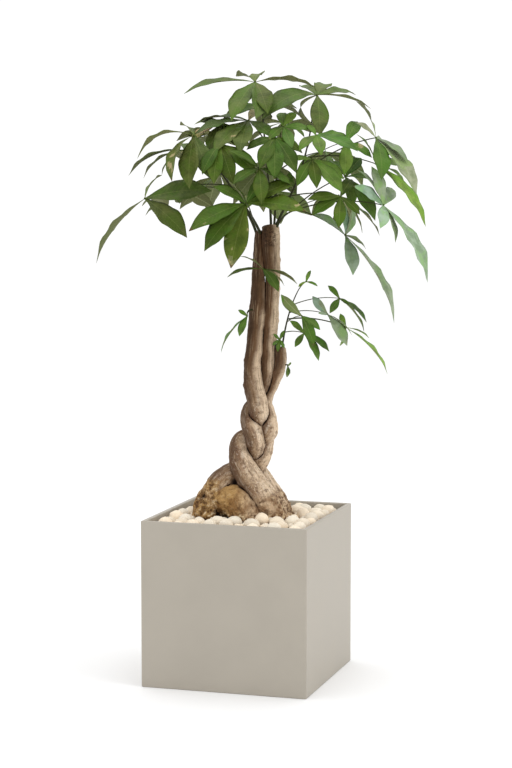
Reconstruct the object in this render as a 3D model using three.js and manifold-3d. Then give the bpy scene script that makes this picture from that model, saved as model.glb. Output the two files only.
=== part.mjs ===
import * as THREE from "three";
import { mergeVertices } from "three/addons/utils/BufferGeometryUtils.js";
import Module from "manifold-3d";

const wasm = await Module();
wasm.setup();

// Driving dimensions of the planter and what fills it, in millimetres.
const POT_SIDE = 400;
const POT_HEIGHT = 392;
const POT_WALL = 15;
const POT_FLOOR = 12;
const POT_EDGE = 2.5;
const SOIL_TOP = 359;
const BED_TOP = 373;
const PEBBLE_LARGEST = 19;
const PEBBLE_SMALLEST = 15;
const PEBBLE_TRIES = 600;
const PEBBLE_RISE = 14;
const MOUND_RADIUS = 190;
const CLEARANCE = 0.3;
const STEM_GAP = 0.7;

// Driving dimensions of the foliage, in millimetres and degrees.
const BLADE_THICKNESS = 2;
const BLADE_WIDTH = 0.36;
const BLADE_WAIST = 1.25;
const LONG_BLADE = 150;
const SHORT_BLADE = 95;
const SMALL_LEAF = 125;
const STALK_WIDTH = 1.4;
const BLADE_ARCH = 0.07;
const BLADE_FOLD = 0.2;
const BLADE_ROOM = 1;
const HUB_RADIUS = 4.5;
const SMALL_HUB_RADIUS = 3.4;
const PETIOLE_RADIUS = 1.9;
const SMALL_PETIOLE_RADIUS = 1.3;
const PETIOLE_RISE = 0.14;
const BOW_STEP = 10;
const BOWS = 9;
const SWING_STEP = 3.5;
const SWINGS = 60;
const GOLDEN_ANGLE = 137.5;
const FAN_LEAFLETS = 5;
const FAN_SPREAD = 245;
const FAN_ROLL = 80;

// The tree is laid out as right, away and up, in a frame turned by this angle from the planter's sides.
const TREE_TURN = THREE.MathUtils.degToRad(17.2);

// Each stem is a list of right, away, up and radius, from its cut top down to its foot in the soil.
const STEM_SIDES = 10;
const STEMS = {
  stem_left: [
    [26.5, 5, 1060, 12],
    [25, 3, 1000, 14.5],
    [22, -2, 930, 16.2],
    [18.5, -6, 870, 17.4],
    [14, -8, 800, 18.4],
    [9, -9, 745, 19.5],
    [11, -11, 702, 22],
    [18, -17, 664, 24],
    [24, -17, 634, 23],
    [28, -4, 610, 20],
    [35, 15, 589, 18],
    [42, 24, 569, 17],
    [43, 21, 550, 17],
    [39, 11, 530, 17.5],
    [29, 4, 511, 19],
    [9, 3, 497, 22],
    [-14, 7, 486, 28],
    [-39, 7, 478, 31],
    [-64, 2, 460, 33],
    [-79, -3, 434, 34],
    [-90, -5, 404, 40],
    [-93, -4, 372, 40],
    [-95, 0, 335, 30],
    [-95, 0, 300, 20],
  ],
  stem_middle: [
    [52, -3, 1074, 20.5],
    [52.5, -3, 1035, 21],
    [53.5, -2, 995, 20],
    [55.5, 1, 945, 17.8],
    [54.5, 4, 895, 17.6],
    [51.5, 5, 838, 18.4],
    [47.5, 5, 790, 18],
    [46, 6, 745, 16],
    [43.5, 11, 702, 16],
    [30, 22, 668, 17],
    [11, 26, 645, 18],
    [0, 12, 624, 19],
    [3, -11, 602, 21],
    [13, -23, 578, 22.5],
    [17, -18, 553, 20.5],
    [14, 3, 530, 17],
    [18, 21, 507, 17],
    [28, 29, 482, 19],
    [41, 26, 458, 22.5],
    [56, 22, 430, 26.5],
    [69, 20, 400, 30],
    [77, 20, 370, 31],
    [78, 20, 330, 25],
    [78, 20, 300, 16],
  ],
  stem_right: [
    [74.5, -2, 786, 12.5],
    [76, -2, 757, 13.5],
    [72, 1, 730, 13],
    [60.5, 8, 702, 13],
    [48.5, 15, 674, 13.5],
    [42, 16, 650, 14.5],
    [45, 6, 629, 17],
    [48, -7, 606, 19],
    [48, -14, 584, 20.5],
    [31, -6, 571, 18],
    [6, 8, 571, 18],
    [-15, 7, 565, 21],
    [-22.5, -4, 547, 23],
    [-19, -20, 518, 26.5],
    [-5, -28, 490, 30.5],
    [14, -30, 460, 34],
    [30, -30, 432, 36.5],
    [47, -30, 402, 38],
    [52, -28, 370, 40],
    [54, -26, 330, 32],
    [54, -26, 300, 20],
  ],
};

// A second root of the left stem runs forward between the two front legs.
const ROOT_LOBE = [
  [-84, -6, 430, 26],
  [-58, -21, 422, 33],
  [-27, -35, 421, 39],
  [-6, -45, 384, 38],
  [-2, -46, 330, 27],
];

const BARK = { color: 0x9a7f63, roughness: 0.85, metalness: 0 };
const LEAF = { color: 0x4f7334, roughness: 0.45, metalness: 0 };

// A leafy shoot is a curve of four control points with a radius at each end, on the stem that it grew from.
// Each leaf leaves it at a fraction of its length, and has a hub, a direction that its upper side faces, and
// either its leaflets' tips, some with the angle that the leaflet is rolled by and how much it arches, or a
// heading, reach and droop that a fan of leaflets is worked out from.
const SHOOTS = [
  {
    name: "leafy_shoot_top",
    stem: "stem_middle",
    path: [[53, 4, 1050], [52, -2, 1130], [40, -10, 1230], [30, -6, 1360]],
    radii: [4.2, 2.1],
    leaves: [
      {
        from: 1,
        hub: [15, 0, 1405],
        face: [0, -0.35, 1],
        tips: [[-150, -30, 1380, -9], [-40, -95, 1315], [18, -112, 1318, 40], [45, -98, 1330],
          [155, 15, 1396, 28], [30, 105, 1428, 20], [-30, 90, 1424, -30]],
      },
      {
        from: 0.8,
        hub: [80, -60, 1300],
        face: [0, -0.8, 0.6],
        tips: [[75, 0, 1335], [110, -20, 1335], [140, -70, 1295], [100, -110, 1250], [45, -100, 1270]],
      },
      {
        from: 0.75,
        hub: [0, -30, 1315],
        face: [-0.1, -0.5, 1],
        tips: [[-120, 20, 1315, -20], [-125, -60, 1285, -10], [-80, -120, 1240], [-20, -135, 1240],
          [55, -90, 1275], [30, 50, 1340]],
      },
      {
        from: 0.65,
        hub: [60, -90, 1275],
        face: [0, -0.7, 0.8],
        tips: [[-10, -110, 1280], [25, -150, 1205], [60, -160, 1180], [110, -140, 1195], [125, -80, 1240]],
      },
      {
        from: 0.45,
        hub: [25, -130, 1205],
        face: [0, -0.6, 1],
        tips: [[-45, -140, 1245], [-35, -180, 1170], [30, -190, 1125], [95, -170, 1185], [55, -90, 1250]],
      },
      { from: 0.85, hub: [35, 110, 1355], heading: 95, reach: 140, droop: 15 },
    ],
  },
  {
    name: "leafy_shoot_right",
    stem: "stem_middle",
    path: [[60, 6, 1060], [78, 8, 1110], [132, -6, 1180], [148, -6, 1320]],
    radii: [4.4, 2.1],
    leaves: [
      {
        from: 1,
        hub: [160, 10, 1375],
        face: [0.1, -0.4, 1],
        tips: [[285, -20, 1345, 22], [165, -70, 1280], [149, -35, 1305, -87, 0.4], [120, 80, 1400],
          [29, -70, 1330, 12, 0.18], [185, 120, 1405], [255, 80, 1380]],
      },
      {
        from: 0.8,
        hub: [155, -90, 1280],
        face: [0, -0.6, 1],
        tips: [[135, -60, 1305], [115, -140, 1245], [165, -160, 1235], [250, -120, 1245], [245, -30, 1265]],
      },
      {
        from: 0.7,
        hub: [225, -60, 1265],
        face: [0.2, -0.7, 0.8],
        tips: [[220, -110, 1190], [190, -30, 1295], [255, 10, 1315], [285, -70, 1230]],
      },
      {
        from: 0.62,
        hub: [295, -40, 1275],
        face: [0.4, -0.4, 1],
        tips: [[248, -60, 1310, 12], [254, 20, 1362, -40], [340, 90, 1235], [370, -60, 1220],
          [390, -80, 1145], [305, -120, 1180]],
      },
      {
        from: 0.75,
        hub: [300, 40, 1215],
        face: [0.6, -0.2, 1],
        tips: [[255, 20, 1285], [350, 120, 1270], [385, 110, 1205], [365, 0, 1175], [420, 20, 1070, -11]],
      },
      {
        from: 0.55,
        hub: [145, -120, 1225],
        face: [0, -0.7, 0.8],
        tips: [[215, -150, 1150], [220, -110, 1180], [155, -170, 1160], [110, -160, 1165],
          [95, -110, 1225]],
      },
    ],
  },
  {
    name: "leafy_shoot_low_right",
    stem: "stem_middle",
    path: [[62, -11, 1056], [72, -26, 1090], [90, -34, 1104], [112, -34, 1108]],
    radii: [3.8, 2.1],
    leaves: [
      {
        from: 1,
        hub: [225, -40, 1050],
        face: [0.4, -0.6, 1],
        tips: [[150, -70, 1100], [212, -20, 1132, -20], [245, 20, 1120, -50], [272, -80, 1020, 50],
          [242, -90, 960], [343, -60, 848, 29]],
      },
      {
        from: 0.9,
        hub: [310, -90, 1120],
        face: [0.5, -0.8, 0.6],
        tips: [[250, -100, 1203, -30], [285, -60, 1210], [240, -140, 1165], [300, -160, 1070],
          [338, -120, 1036, 30], [416, -100, 945, 28], [335, -20, 1160]],
      },
      {
        from: 0.6,
        hub: [210, -120, 1140],
        face: [0.1, -0.8, 0.7],
        tips: [[135, -150, 1135], [145, -150, 1100], [205, -160, 1070], [255, -130, 1100],
          [240, -60, 1180]],
      },
      {
        from: 0.75,
        hub: [225, -30, 1185],
        face: [0.3, -0.6, 0.9],
        tips: [[235, -80, 1115], [295, -60, 1085], [285, -60, 1180], [265, 20, 1230], [190, 20, 1225]],
      },
    ],
  },
  {
    name: "leafy_shoot_left",
    stem: "stem_left",
    path: [[19, 4, 1050], [2, -6, 1110], [-56, -30, 1180], [-96, -40, 1240]],
    radii: [4.4, 2.1],
    leaves: [
      {
        from: 0.6,
        hub: [-240, -60, 1135],
        face: [-0.3, -0.5, 1],
        tips: [[-355, -80, 988, -42], [-140, -120, 1048], [-85, -90, 1155, -25], [-205, 10, 1190, 40],
          [-190, 40, 1115]],
      },
      {
        from: 1,
        hub: [-125, -80, 1280],
        face: [-0.3, -0.4, 1],
        tips: [[-258, -60, 1229, -27, 0.2], [-175, -150, 1175, -20, 0.17], [-135, -150, 1160],
          [-85, -130, 1180], [-155, 0, 1305, -45]],
      },
      {
        from: 0.9,
        hub: [-60, -10, 1310],
        face: [-0.3, -0.4, 1],
        tips: [[-130, 30, 1315], [-135, -60, 1265], [-90, -80, 1240], [-25, -80, 1255], [-20, 60, 1335]],
      },
      {
        from: 0.8,
        hub: [-65, -100, 1260],
        face: [-0.2, -0.7, 0.8],
        tips: [[20, -140, 1200], [-35, -150, 1170], [-80, -160, 1175], [-115, -140, 1195],
          [-25, -40, 1305]],
      },
    ],
  },
  {
    name: "leafy_shoot_front",
    stem: "stem_left",
    path: [[27, -4, 1052], [22, -40, 1066], [10, -76, 1084], [4, -112, 1108]],
    radii: [3.8, 2.1],
    leaves: [
      {
        from: 1,
        hub: [-5, -150, 1125],
        face: [0, -0.7, 0.8],
        tips: [[-135, -190, 1065], [-100, -200, 1020], [-40, -190, 980], [130, -190, 1110],
          [105, -150, 1180], [40, -130, 1185], [-80, -150, 1165]],
      },
    ],
  },
  {
    name: "leafy_shoot_back",
    stem: "stem_middle",
    path: [[56, 10, 1010], [62, 66, 1080], [66, 110, 1170], [74, 140, 1270]],
    radii: [4.4, 2.1],
    leaves: [
      { from: 1, hub: [80, 160, 1315], heading: 88, reach: 130, droop: 18 },
      { from: 0.75, hub: [185, 190, 1245], heading: 35, reach: 155, droop: 30 },
      { from: 0.65, hub: [50, 250, 1220], heading: 95, reach: 160, droop: 35 },
      { from: 0.5, hub: [215, 110, 1140], heading: 15, reach: 150, droop: 40 },
      { from: 0.45, hub: [60, 215, 1150], heading: 85, reach: 145, droop: 22 },
    ],
  },
  {
    name: "leafy_shoot_back_left",
    stem: "stem_left",
    path: [[29, 10, 1048], [16, 60, 1090], [-46, 90, 1160], [-90, 120, 1230]],
    radii: [4.4, 2.1],
    leaves: [
      { from: 1, hub: [-85, 150, 1290], heading: 95, reach: 130, droop: 15 },
      {
        from: 0.85,
        hub: [-152, 40, 1248],
        face: [-0.3, 0.3, 1],
        tips: [[-286, 60, 1190, 11, 0.12], [-251, 60, 1183, 14, 0.12],
          [-207, 50, 1188, 18, 0.12], [-160, 180, 1225], [-110, 190, 1265]],
      },
      { from: 0.7, hub: [-70, 240, 1190], heading: 105, reach: 155, droop: 38 },
      { from: 0.6, hub: [-160, 180, 1150], heading: 145, reach: 140, droop: 18 },
    ],
  },
  {
    name: "leafy_shoot_low",
    stem: "stem_right",
    path: [[77, -3, 772], [84, -6, 826], [95, -6, 880], [118, -6, 922]],
    radii: [3.2, 1.5],
    leaves: [
      {
        from: 1,
        hub: [135, -5, 940],
        face: [0, -0.5, 1],
        tips: [[117, -12, 928], [146, 2, 966], [162, -10, 930]],
      },
      {
        from: 0.72,
        hub: [214, 0, 900],
        face: [0.2, -0.8, 0.6],
        tips: [[187, 10, 930], [236, -10, 886], [278, -20, 846, 35], [275, 20, 820, 60], [190, -30, 868]],
      },
      {
        from: 0.6,
        hub: [185, -40, 865],
        face: [0.2, -0.8, 0.6],
        tips: [[149, -30, 907, 40], [163, -55, 869], [231, -50, 793], [242, -35, 818, 50]],
      },
      {
        from: 0.5,
        hub: [230, 20, 830],
        face: [0.3, -0.6, 0.8],
        tips: [[217, 35, 862, 40], [284, 0, 808, 30], [331, 10, 722, 35], [216, 20, 786, 50]],
      },
      {
        from: 0.3,
        hub: [130, -30, 820],
        face: [0.1, -0.8, 0.6],
        tips: [[108, -50, 790], [97, -30, 850], [165, -40, 757, 25], [190, -30, 778, 25]],
      },
      {
        from: 0.45,
        hub: [124, -50, 862],
        face: [0.1, -0.8, 0.6],
        tips: [[152, -78, 797], [167, -60, 831], [75, -50, 912, 50]],
      },
      {
        from: 0.12,
        hub: [73, -22, 804],
        face: [-0.1, -0.8, 0.6],
        tips: [[56, -32, 792], [68, -36, 778], [84, -30, 786], [58, -22, 818], [84, -20, 826]],
      },
    ],
  },
  {
    name: "trunk_leaf",
    stem: "stem_middle",
    path: [[54, -4, 936], [47, -24, 940], [41, -38, 952], [35, -46, 965]],
    radii: [3.5, 2.2],
    leaves: [
      {
        from: 1,
        hub: [34, -50, 972],
        face: [0, -0.6, 0.9],
        tips: [[-50, -70, 955, -25], [-18, -50, 1002, -50], [70, -90, 922], [84, -66, 934, 60],
          [114, -50, 938, 50]],
      },
    ],
  },
  {
    name: "left_trunk_leaf",
    stem: "stem_left",
    path: [[12, -14, 874], [3, -26, 876], [-1, -34, 874], [-3, -38, 868]],
    radii: [3, 2.2],
    leaves: [
      {
        from: 1,
        hub: [-3, -42, 862],
        face: [-0.2, -0.8, 0.8],
        tips: [[-66, -55, 778, -50], [-22, -60, 816], [-24, -46, 876, 20]],
      },
    ],
  },
  {
    name: "side_sprout",
    stem: "stem_right",
    path: [[80, -4, 742], [88, -10, 744], [91, -14, 745], [92, -15, 744]],
    radii: [2.6, 1.8],
    leaves: [
      {
        from: 1,
        hub: [92, -16, 742],
        face: [0.4, -0.8, 0.3],
        tips: [[90, -22, 716], [97, -18, 722, 40], [100, -14, 750]],
      },
    ],
  },
];

// Seeded random numbers from 0 to 1, the same in every build.
function seeded(seed) {
  let state = seed;
  return () => {
    state = (state + 0x6d2b79f5) | 0;
    let mixed = Math.imul(state ^ (state >>> 15), 1 | state);
    mixed = (mixed + Math.imul(mixed ^ (mixed >>> 7), 61 | mixed)) ^ mixed;
    return ((mixed ^ (mixed >>> 14)) >>> 0) / 4294967296;
  };
}

// A place in the tree's frame, as a point in the planter's frame.
function place([right, away, up]) {
  const cos = Math.cos(TREE_TURN);
  const sin = Math.sin(TREE_TURN);
  return new THREE.Vector3(right * cos - away * sin, right * sin + away * cos, up);
}

// A closed geometry as a solid that can be joined and cut.
function solidOf(geometry) {
  const bare = geometry.clone();
  bare.deleteAttribute("normal");
  bare.deleteAttribute("uv");
  const welded = mergeVertices(bare, 1e-4);
  return new wasm.Manifold(
    new wasm.Mesh({
      numProp: 3,
      vertProperties: welded.attributes.position.array,
      triVerts: new Uint32Array(welded.index.array),
    }),
  );
}

// A solid's largest body as a geometry: the scraps that a cut leaves are dropped.
function geometryOf(solid) {
  const bodies = solid.decompose();
  const largest = bodies.reduce((best, body) => (body.volume() > best.volume() ? body : best));
  const mesh = largest.getMesh();
  return new THREE.BufferGeometry()
    .setAttribute("position", new THREE.BufferAttribute(mesh.vertProperties, 3))
    .setIndex(new THREE.BufferAttribute(mesh.triVerts, 1));
}

function meshOf(name, solid, finish) {
  const mesh = new THREE.Mesh(geometryOf(solid), new THREE.MeshStandardMaterial(finish));
  mesh.name = name;
  return mesh;
}

// A tapered round bar along a curve, closed at both ends, grown all over by an allowance.
function bar(curve, radiusAt, sides, steps, allowance = 0) {
  const geometry = new THREE.CylinderGeometry(1, 1, 1, sides, steps);
  const frames = curve.computeFrenetFrames(steps);
  const position = geometry.attributes.position;
  for (let i = 0; i < position.count; i++) {
    const along = position.getY(i) + 0.5;
    const ring = Math.round(along * steps);
    const radius = radiusAt(curve.getUtoTmapping(along)) + allowance;
    const end = (ring === steps ? allowance : 0) - (ring === 0 ? allowance : 0);
    const point = curve
      .getPointAt(along)
      .addScaledVector(frames.normals[ring], position.getX(i) * radius)
      .addScaledVector(frames.binormals[ring], -position.getZ(i) * radius)
      .addScaledVector(frames.tangents[ring], end);
    position.setXYZ(i, point.x, point.y, point.z);
  }
  return solidOf(geometry);
}

// A stem's or root's bar, with a ring at each of its hand-chosen points, which lie closer in the bends.
function stemBar(rows, allowance = 0) {
  const curve = new THREE.CatmullRomCurve3(rows.map(place), false, "catmullrom", 0.5);
  curve.getUtoTmapping = (along) => along;
  const radii = new THREE.CatmullRomCurve3(
    rows.map((row) => new THREE.Vector3(row[3], 0, 0)),
    false,
    "catmullrom",
    0.5,
  );
  return bar(curve, (t) => radii.getPoint(t).x, STEM_SIDES, rows.length - 1, allowance);
}

function shootCurve(shoot) {
  return new THREE.CubicBezierCurve3(...shoot.path.map(place));
}

function shootBar(shoot, allowance = 0) {
  const [foot, tip] = shoot.radii;
  return bar(shootCurve(shoot), (t) => THREE.MathUtils.lerp(foot, tip, t), 6, 6, allowance);
}

// The direction in which a leaf's upper side looks, in the planter's frame.
function faceOf(leaf) {
  const face = leaf.face ?? [leaf.hub[0] / 400, leaf.hub[1] / 400, 1];
  return place(face).normalize();
}

// The tips of a leaf: those measured, or a fan round the heading with shorter leaflets at its sides.
function tipsOf(leaf, random) {
  if (leaf.tips) {
    return leaf.tips.map((tip) => ({ at: place(tip), roll: tip[3] ?? 0, arch: tip[4] ?? BLADE_ARCH }));
  }
  return Array.from({ length: FAN_LEAFLETS }, (_, i) => {
    const spread = i / (FAN_LEAFLETS - 1) - 0.5;
    const turn = THREE.MathUtils.degToRad(leaf.heading + spread * FAN_SPREAD + 12 * (random() - 0.5));
    const droop = THREE.MathUtils.degToRad(leaf.droop + 24 * (random() - 0.5));
    const reach = leaf.reach * (1 - 0.75 * Math.abs(spread)) * (0.9 + 0.2 * random());
    const [right, away, up] = leaf.hub;
    const at = place([
      right + reach * Math.cos(droop) * Math.cos(turn),
      away + reach * Math.cos(droop) * Math.sin(turn),
      up - reach * Math.sin(droop),
    ]);
    return { at, roll: FAN_ROLL * (random() - 0.5), arch: BLADE_ARCH };
  });
}

// A petiole's curve from the shoot to the hub, bowed sideways by a number of steps.
function petioleCurve(start, hub, bow) {
  const run = hub.clone().sub(start);
  const side = new THREE.Vector3(-run.y, run.x, 0).normalize();
  const steps = Math.ceil(bow / 2) * (bow % 2 ? 1 : -1);
  const middle = start
    .clone()
    .lerp(hub, 0.5)
    .addScaledVector(new THREE.Vector3(0, 0, 1), PETIOLE_RISE * run.length())
    .addScaledVector(side, steps * BOW_STEP);
  return new THREE.QuadraticBezierCurve3(start, middle, hub);
}

// A leaflet's tip after a number of swings along a widening spiral round its first direction.
function swungTip(hub, tip, face, swing) {
  const run = tip.clone().sub(hub);
  const side = run.clone().cross(face).normalize();
  const lift = side.clone().cross(run).normalize();
  const turn = THREE.MathUtils.degToRad(GOLDEN_ANGLE * swing);
  const reach = run.length() * Math.tan(THREE.MathUtils.degToRad(SWING_STEP * Math.sqrt(swing)));
  const swung = run
    .clone()
    .addScaledVector(side, reach * Math.cos(turn))
    .addScaledVector(lift, reach * Math.sin(turn));
  return hub.clone().add(swung.setLength(run.length()));
}

// A leaflet: a blade of four-cornered sections that is widest at its middle, arches over and is folded
// a little along its midrib, so that each strip of it lies flat. It is rolled by an angle about its length.
function leaflet(hub, tip, face, { roll, arch }, allowance = 0) {
  const run = tip.clone().sub(hub);
  const length = run.length();
  const axis = run.clone().normalize();
  const side = run.clone().cross(face).normalize().applyAxisAngle(axis, -THREE.MathUtils.degToRad(roll));
  const lift = side.clone().cross(run).normalize();
  const strips = 2 + (length > SHORT_BLADE) + (length > LONG_BLADE);
  const geometry = new THREE.ConeGeometry(1, 1, 4, strips);
  const position = geometry.attributes.position;
  for (let i = 0; i < position.count; i++) {
    const even = position.getY(i) + 0.5;
    const t = even ** 0.85;
    const across = even === 1 ? 0 : position.getX(i) / (1 - even);
    const over = even === 1 ? 0 : position.getZ(i) / (1 - even);
    const bulge = Math.sin(Math.PI * t ** BLADE_WAIST);
    const half = STALK_WIDTH + (BLADE_WIDTH * length * 0.5 - STALK_WIDTH) * bulge + allowance;
    const thick = BLADE_THICKNESS * (1 - 0.4 * t) + allowance;
    const fold = BLADE_FOLD * Math.abs(across) * (half - STALK_WIDTH - allowance);
    const point = hub
      .clone()
      .addScaledVector(run, t)
      .addScaledVector(side, across * half)
      .addScaledVector(lift, 4 * arch * length * t * (1 - t) + over * thick * 0.5 + fold);
    position.setXYZ(i, point.x, point.y, point.z);
  }
  return solidOf(geometry);
}

function hubKnob(hub, radius) {
  const geometry = new THREE.OctahedronGeometry(radius, 0);
  geometry.translate(hub.x, hub.y, hub.z);
  return solidOf(geometry);
}

// A solid that is in the way of others, with the node and the leaf it belongs to.
function obstacle(solid, owner, leaf = null) {
  return { solid, owner, leaf, box: solid.boundingBox() };
}

// The first of the obstacles counted that a solid crosses, or nothing.
function crossed(solid, obstacles, counts) {
  const { min, max } = solid.boundingBox();
  return obstacles.find((other) => {
    if (!counts(other)) return false;
    const { box } = other;
    const apart = [0, 1, 2].some((axis) => min[axis] > box.max[axis] || max[axis] < box.min[axis]);
    return !apart && !solid.intersect(other.solid).isEmpty();
  });
}

// Pieces that stand in the way are avoided: first all of them, then at least those of other nodes.
function firstClear(make, count, obstacles, owner, leaf) {
  const elsewhere = (other) => other.leaf !== leaf && other.solid !== owner.solid;
  const foreign = (other) => other.owner !== owner.name;
  for (const counts of [elsewhere, foreign]) {
    for (let trial = 0; trial < count; trial++) {
      const attempt = make(trial);
      if (!crossed(attempt.guard, obstacles, counts)) return attempt.solid;
    }
  }
  throw new Error(`${owner.name}: a leaf finds no clear place`);
}

// Stems and their roots, cut clear of each other where they press together.
function plaitedStems() {
  const grown = (name) => stemBar(STEMS[name], STEM_GAP);
  const lobe = stemBar(ROOT_LOBE);
  const lobeGrown = stemBar(ROOT_LOBE, STEM_GAP);
  const left = stemBar(STEMS.stem_left).add(lobe);
  const leftGrown = grown("stem_left").add(lobeGrown);
  const middle = stemBar(STEMS.stem_middle).subtract(leftGrown);
  const right = stemBar(STEMS.stem_right).subtract(leftGrown).subtract(grown("stem_middle"));
  return { stem_left: left, stem_middle: middle, stem_right: right };
}

// Each shoot with its leaves, bent clear of all that is already there.
function leafyShoots(stems) {
  const random = seeded(7);
  const obstacles = Object.entries(stems).map(([name, solid]) => obstacle(solid, name));
  const shoots = SHOOTS.map((shoot) => ({
    ...shoot,
    curve: shootCurve(shoot),
    solid: shootBar(shoot),
    leaves: shoot.leaves.map((leaf) => ({
      from: leaf.from,
      hub: place(leaf.hub),
      face: faceOf(leaf),
      tips: tipsOf(leaf, random),
    })),
  }));
  shoots.forEach((shoot) => obstacles.push(obstacle(shoot.solid, shoot.name)));
  for (const shoot of shoots) {
    const own = (other) => other.owner !== shoot.name && other.owner !== shoot.stem;
    const other = crossed(shoot.solid, obstacles, own);
    if (other) throw new Error(`${shoot.name} crosses ${other.owner}`);
    shoot.parts = [shoot.solid];
    for (const leaf of shoot.leaves) {
      const start = shoot.curve.getPoint(leaf.from);
      const small = leaf.tips.every((tip) => tip.at.distanceTo(leaf.hub) < SMALL_LEAF);
      const radius = small ? SMALL_PETIOLE_RADIUS : PETIOLE_RADIUS;
      const petiole = (bow) => {
        const curve = petioleCurve(start, leaf.hub, bow);
        const solid = bar(curve, () => radius, 4, 3);
        return { solid, guard: solid };
      };
      const solid = firstClear(petiole, BOWS, obstacles, shoot, leaf);
      const knob = hubKnob(leaf.hub, small ? SMALL_HUB_RADIUS : HUB_RADIUS);
      shoot.parts.push(solid, knob);
      obstacles.push(obstacle(solid, shoot.name, leaf), obstacle(knob, shoot.name, leaf));
    }
  }
  for (const shoot of shoots) {
    for (const leaf of shoot.leaves) {
      const { hub, face } = leaf;
      for (const tip of leaf.tips) {
        const blade = (swing) => {
          const swung = swungTip(hub, tip.at, face, swing);
          return {
            solid: leaflet(hub, swung, face, tip),
            guard: leaflet(hub, swung, face, tip, BLADE_ROOM),
          };
        };
        const solid = firstClear(blade, SWINGS, obstacles, shoot, leaf);
        shoot.parts.push(solid);
        obstacles.push(obstacle(solid, shoot.name, leaf));
      }
    }
  }
  return shoots;
}

// A square block of the planter's plan, with its edges broken by the given amount.
function squareBlock(side, bottom, top, edge) {
  const half = side / 2 - edge;
  const outline = new THREE.Shape([
    new THREE.Vector2(-half, -half),
    new THREE.Vector2(half, -half),
    new THREE.Vector2(half, half),
    new THREE.Vector2(-half, half),
  ]);
  const geometry = new THREE.ExtrudeGeometry(outline, {
    depth: top - bottom - 2 * edge,
    bevelEnabled: edge > 0,
    bevelThickness: edge,
    bevelSize: edge,
    bevelSegments: 1,
    steps: 1,
  });
  geometry.translate(0, 0, bottom + edge);
  return solidOf(geometry);
}

function planter() {
  const outer = squareBlock(POT_SIDE, 0, POT_HEIGHT, POT_EDGE);
  const inner = squareBlock(POT_SIDE - 2 * POT_WALL, POT_FLOOR, POT_HEIGHT + 10, 0);
  return outer.subtract(inner);
}

// The stems' own shapes, grown by an allowance, that holes are cut with.
function stemHoles(allowance) {
  return [...Object.values(STEMS), ROOT_LOBE].map((rows) => stemBar(rows, allowance));
}

function cutAll(solid, cutters) {
  return cutters.reduce((rest, cutter) => rest.subtract(cutter), solid);
}

function pottingSoil() {
  const side = POT_SIDE - 2 * POT_WALL - 2 * CLEARANCE;
  const block = squareBlock(side, POT_FLOOR + CLEARANCE, SOIL_TOP, 0);
  return cutAll(block, stemHoles(CLEARANCE));
}

// Whether a round spot lies clear of the stems where they pass through the pebbles.
function clearOfStems(x, y, radius) {
  return [...Object.values(STEMS), ROOT_LOBE].flat().every((row) => {
    if (Math.abs(row[2] - BED_TOP) > 50) return true;
    const centre = place(row);
    return Math.hypot(x - centre.x, y - centre.y) > radius + row[3] + 1;
  });
}

// Places for pebbles: ever smaller ones are dropped at random where they lie clear of those before them.
function pebbleSpots(random, side) {
  const spots = [];
  for (let radius = PEBBLE_LARGEST; radius >= PEBBLE_SMALLEST; radius -= 1) {
    const room = side / 2 - radius;
    for (let trial = 0; trial < PEBBLE_TRIES; trial++) {
      const x = room * (2 * random() - 1);
      const y = room * (2 * random() - 1);
      const free = spots.every((spot) => Math.hypot(x - spot.x, y - spot.y) > 0.96 * (radius + spot.radius));
      if (free && clearOfStems(x, y, radius)) spots.push({ x, y, radius });
    }
  }
  return spots;
}

// Decorative pebbles sunk in a thin bed and heaped a little towards the stems.
function pebbleLayer() {
  const random = seeded(21);
  const side = POT_SIDE - 2 * POT_WALL - 2 * CLEARANCE;
  const holes = stemHoles(CLEARANCE);
  const bed = cutAll(squareBlock(side, SOIL_TOP + CLEARANCE, BED_TOP, 0), holes);
  const pebbles = pebbleSpots(random, side).map(({ x, y, radius }) => {
    const mound = PEBBLE_RISE * Math.max(0, 1 - Math.hypot(x, y) / MOUND_RADIUS);
    const geometry = new THREE.IcosahedronGeometry(radius, 0);
    geometry.scale(1, 0.85 + 0.15 * random(), 0.7 + 0.15 * random());
    geometry.rotateZ(Math.PI * random());
    geometry.translate(x, y, BED_TOP + 4 + mound + 3 * random());
    return solidOf(geometry);
  });
  const clear = pebbles.filter((pebble) => holes.every((hole) => pebble.intersect(hole).isEmpty()));
  return wasm.Manifold.union([bed, ...clear]);
}

const group = new THREE.Group();
const stems = plaitedStems();
const shoots = leafyShoots(stems);
for (const shoot of shoots) {
  stems[shoot.stem] = stems[shoot.stem].subtract(shootBar(shoot, CLEARANCE));
}
group.add(meshOf("planter", planter(), { color: 0xb8afa3, roughness: 0.45, metalness: 0 }));
group.add(meshOf("potting_soil", pottingSoil(), { color: 0x3b2c20, roughness: 0.95, metalness: 0 }));
group.add(meshOf("pebble_layer", pebbleLayer(), { color: 0xebe1d2, roughness: 0.6, metalness: 0 }));
for (const [name, solid] of Object.entries(stems)) {
  group.add(meshOf(name, solid, BARK));
}
for (const shoot of shoots) {
  group.add(meshOf(shoot.name, wasm.Manifold.union(shoot.parts), LEAF));
}

export default group;
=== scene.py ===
"""A money tree with three plaited stems, palmate leaves, soil and pebbles in a square planter.

Lengths in the tables are millimetres in the tree's own frame: right, away and up from the middle of
the planter's underside, turned against the planter's sides. Everything made from them is in metres.
"""
import bisect
import math
import random
from collections import namedtuple

import bmesh
import bpy
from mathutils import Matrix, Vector, kdtree, noise


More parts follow.
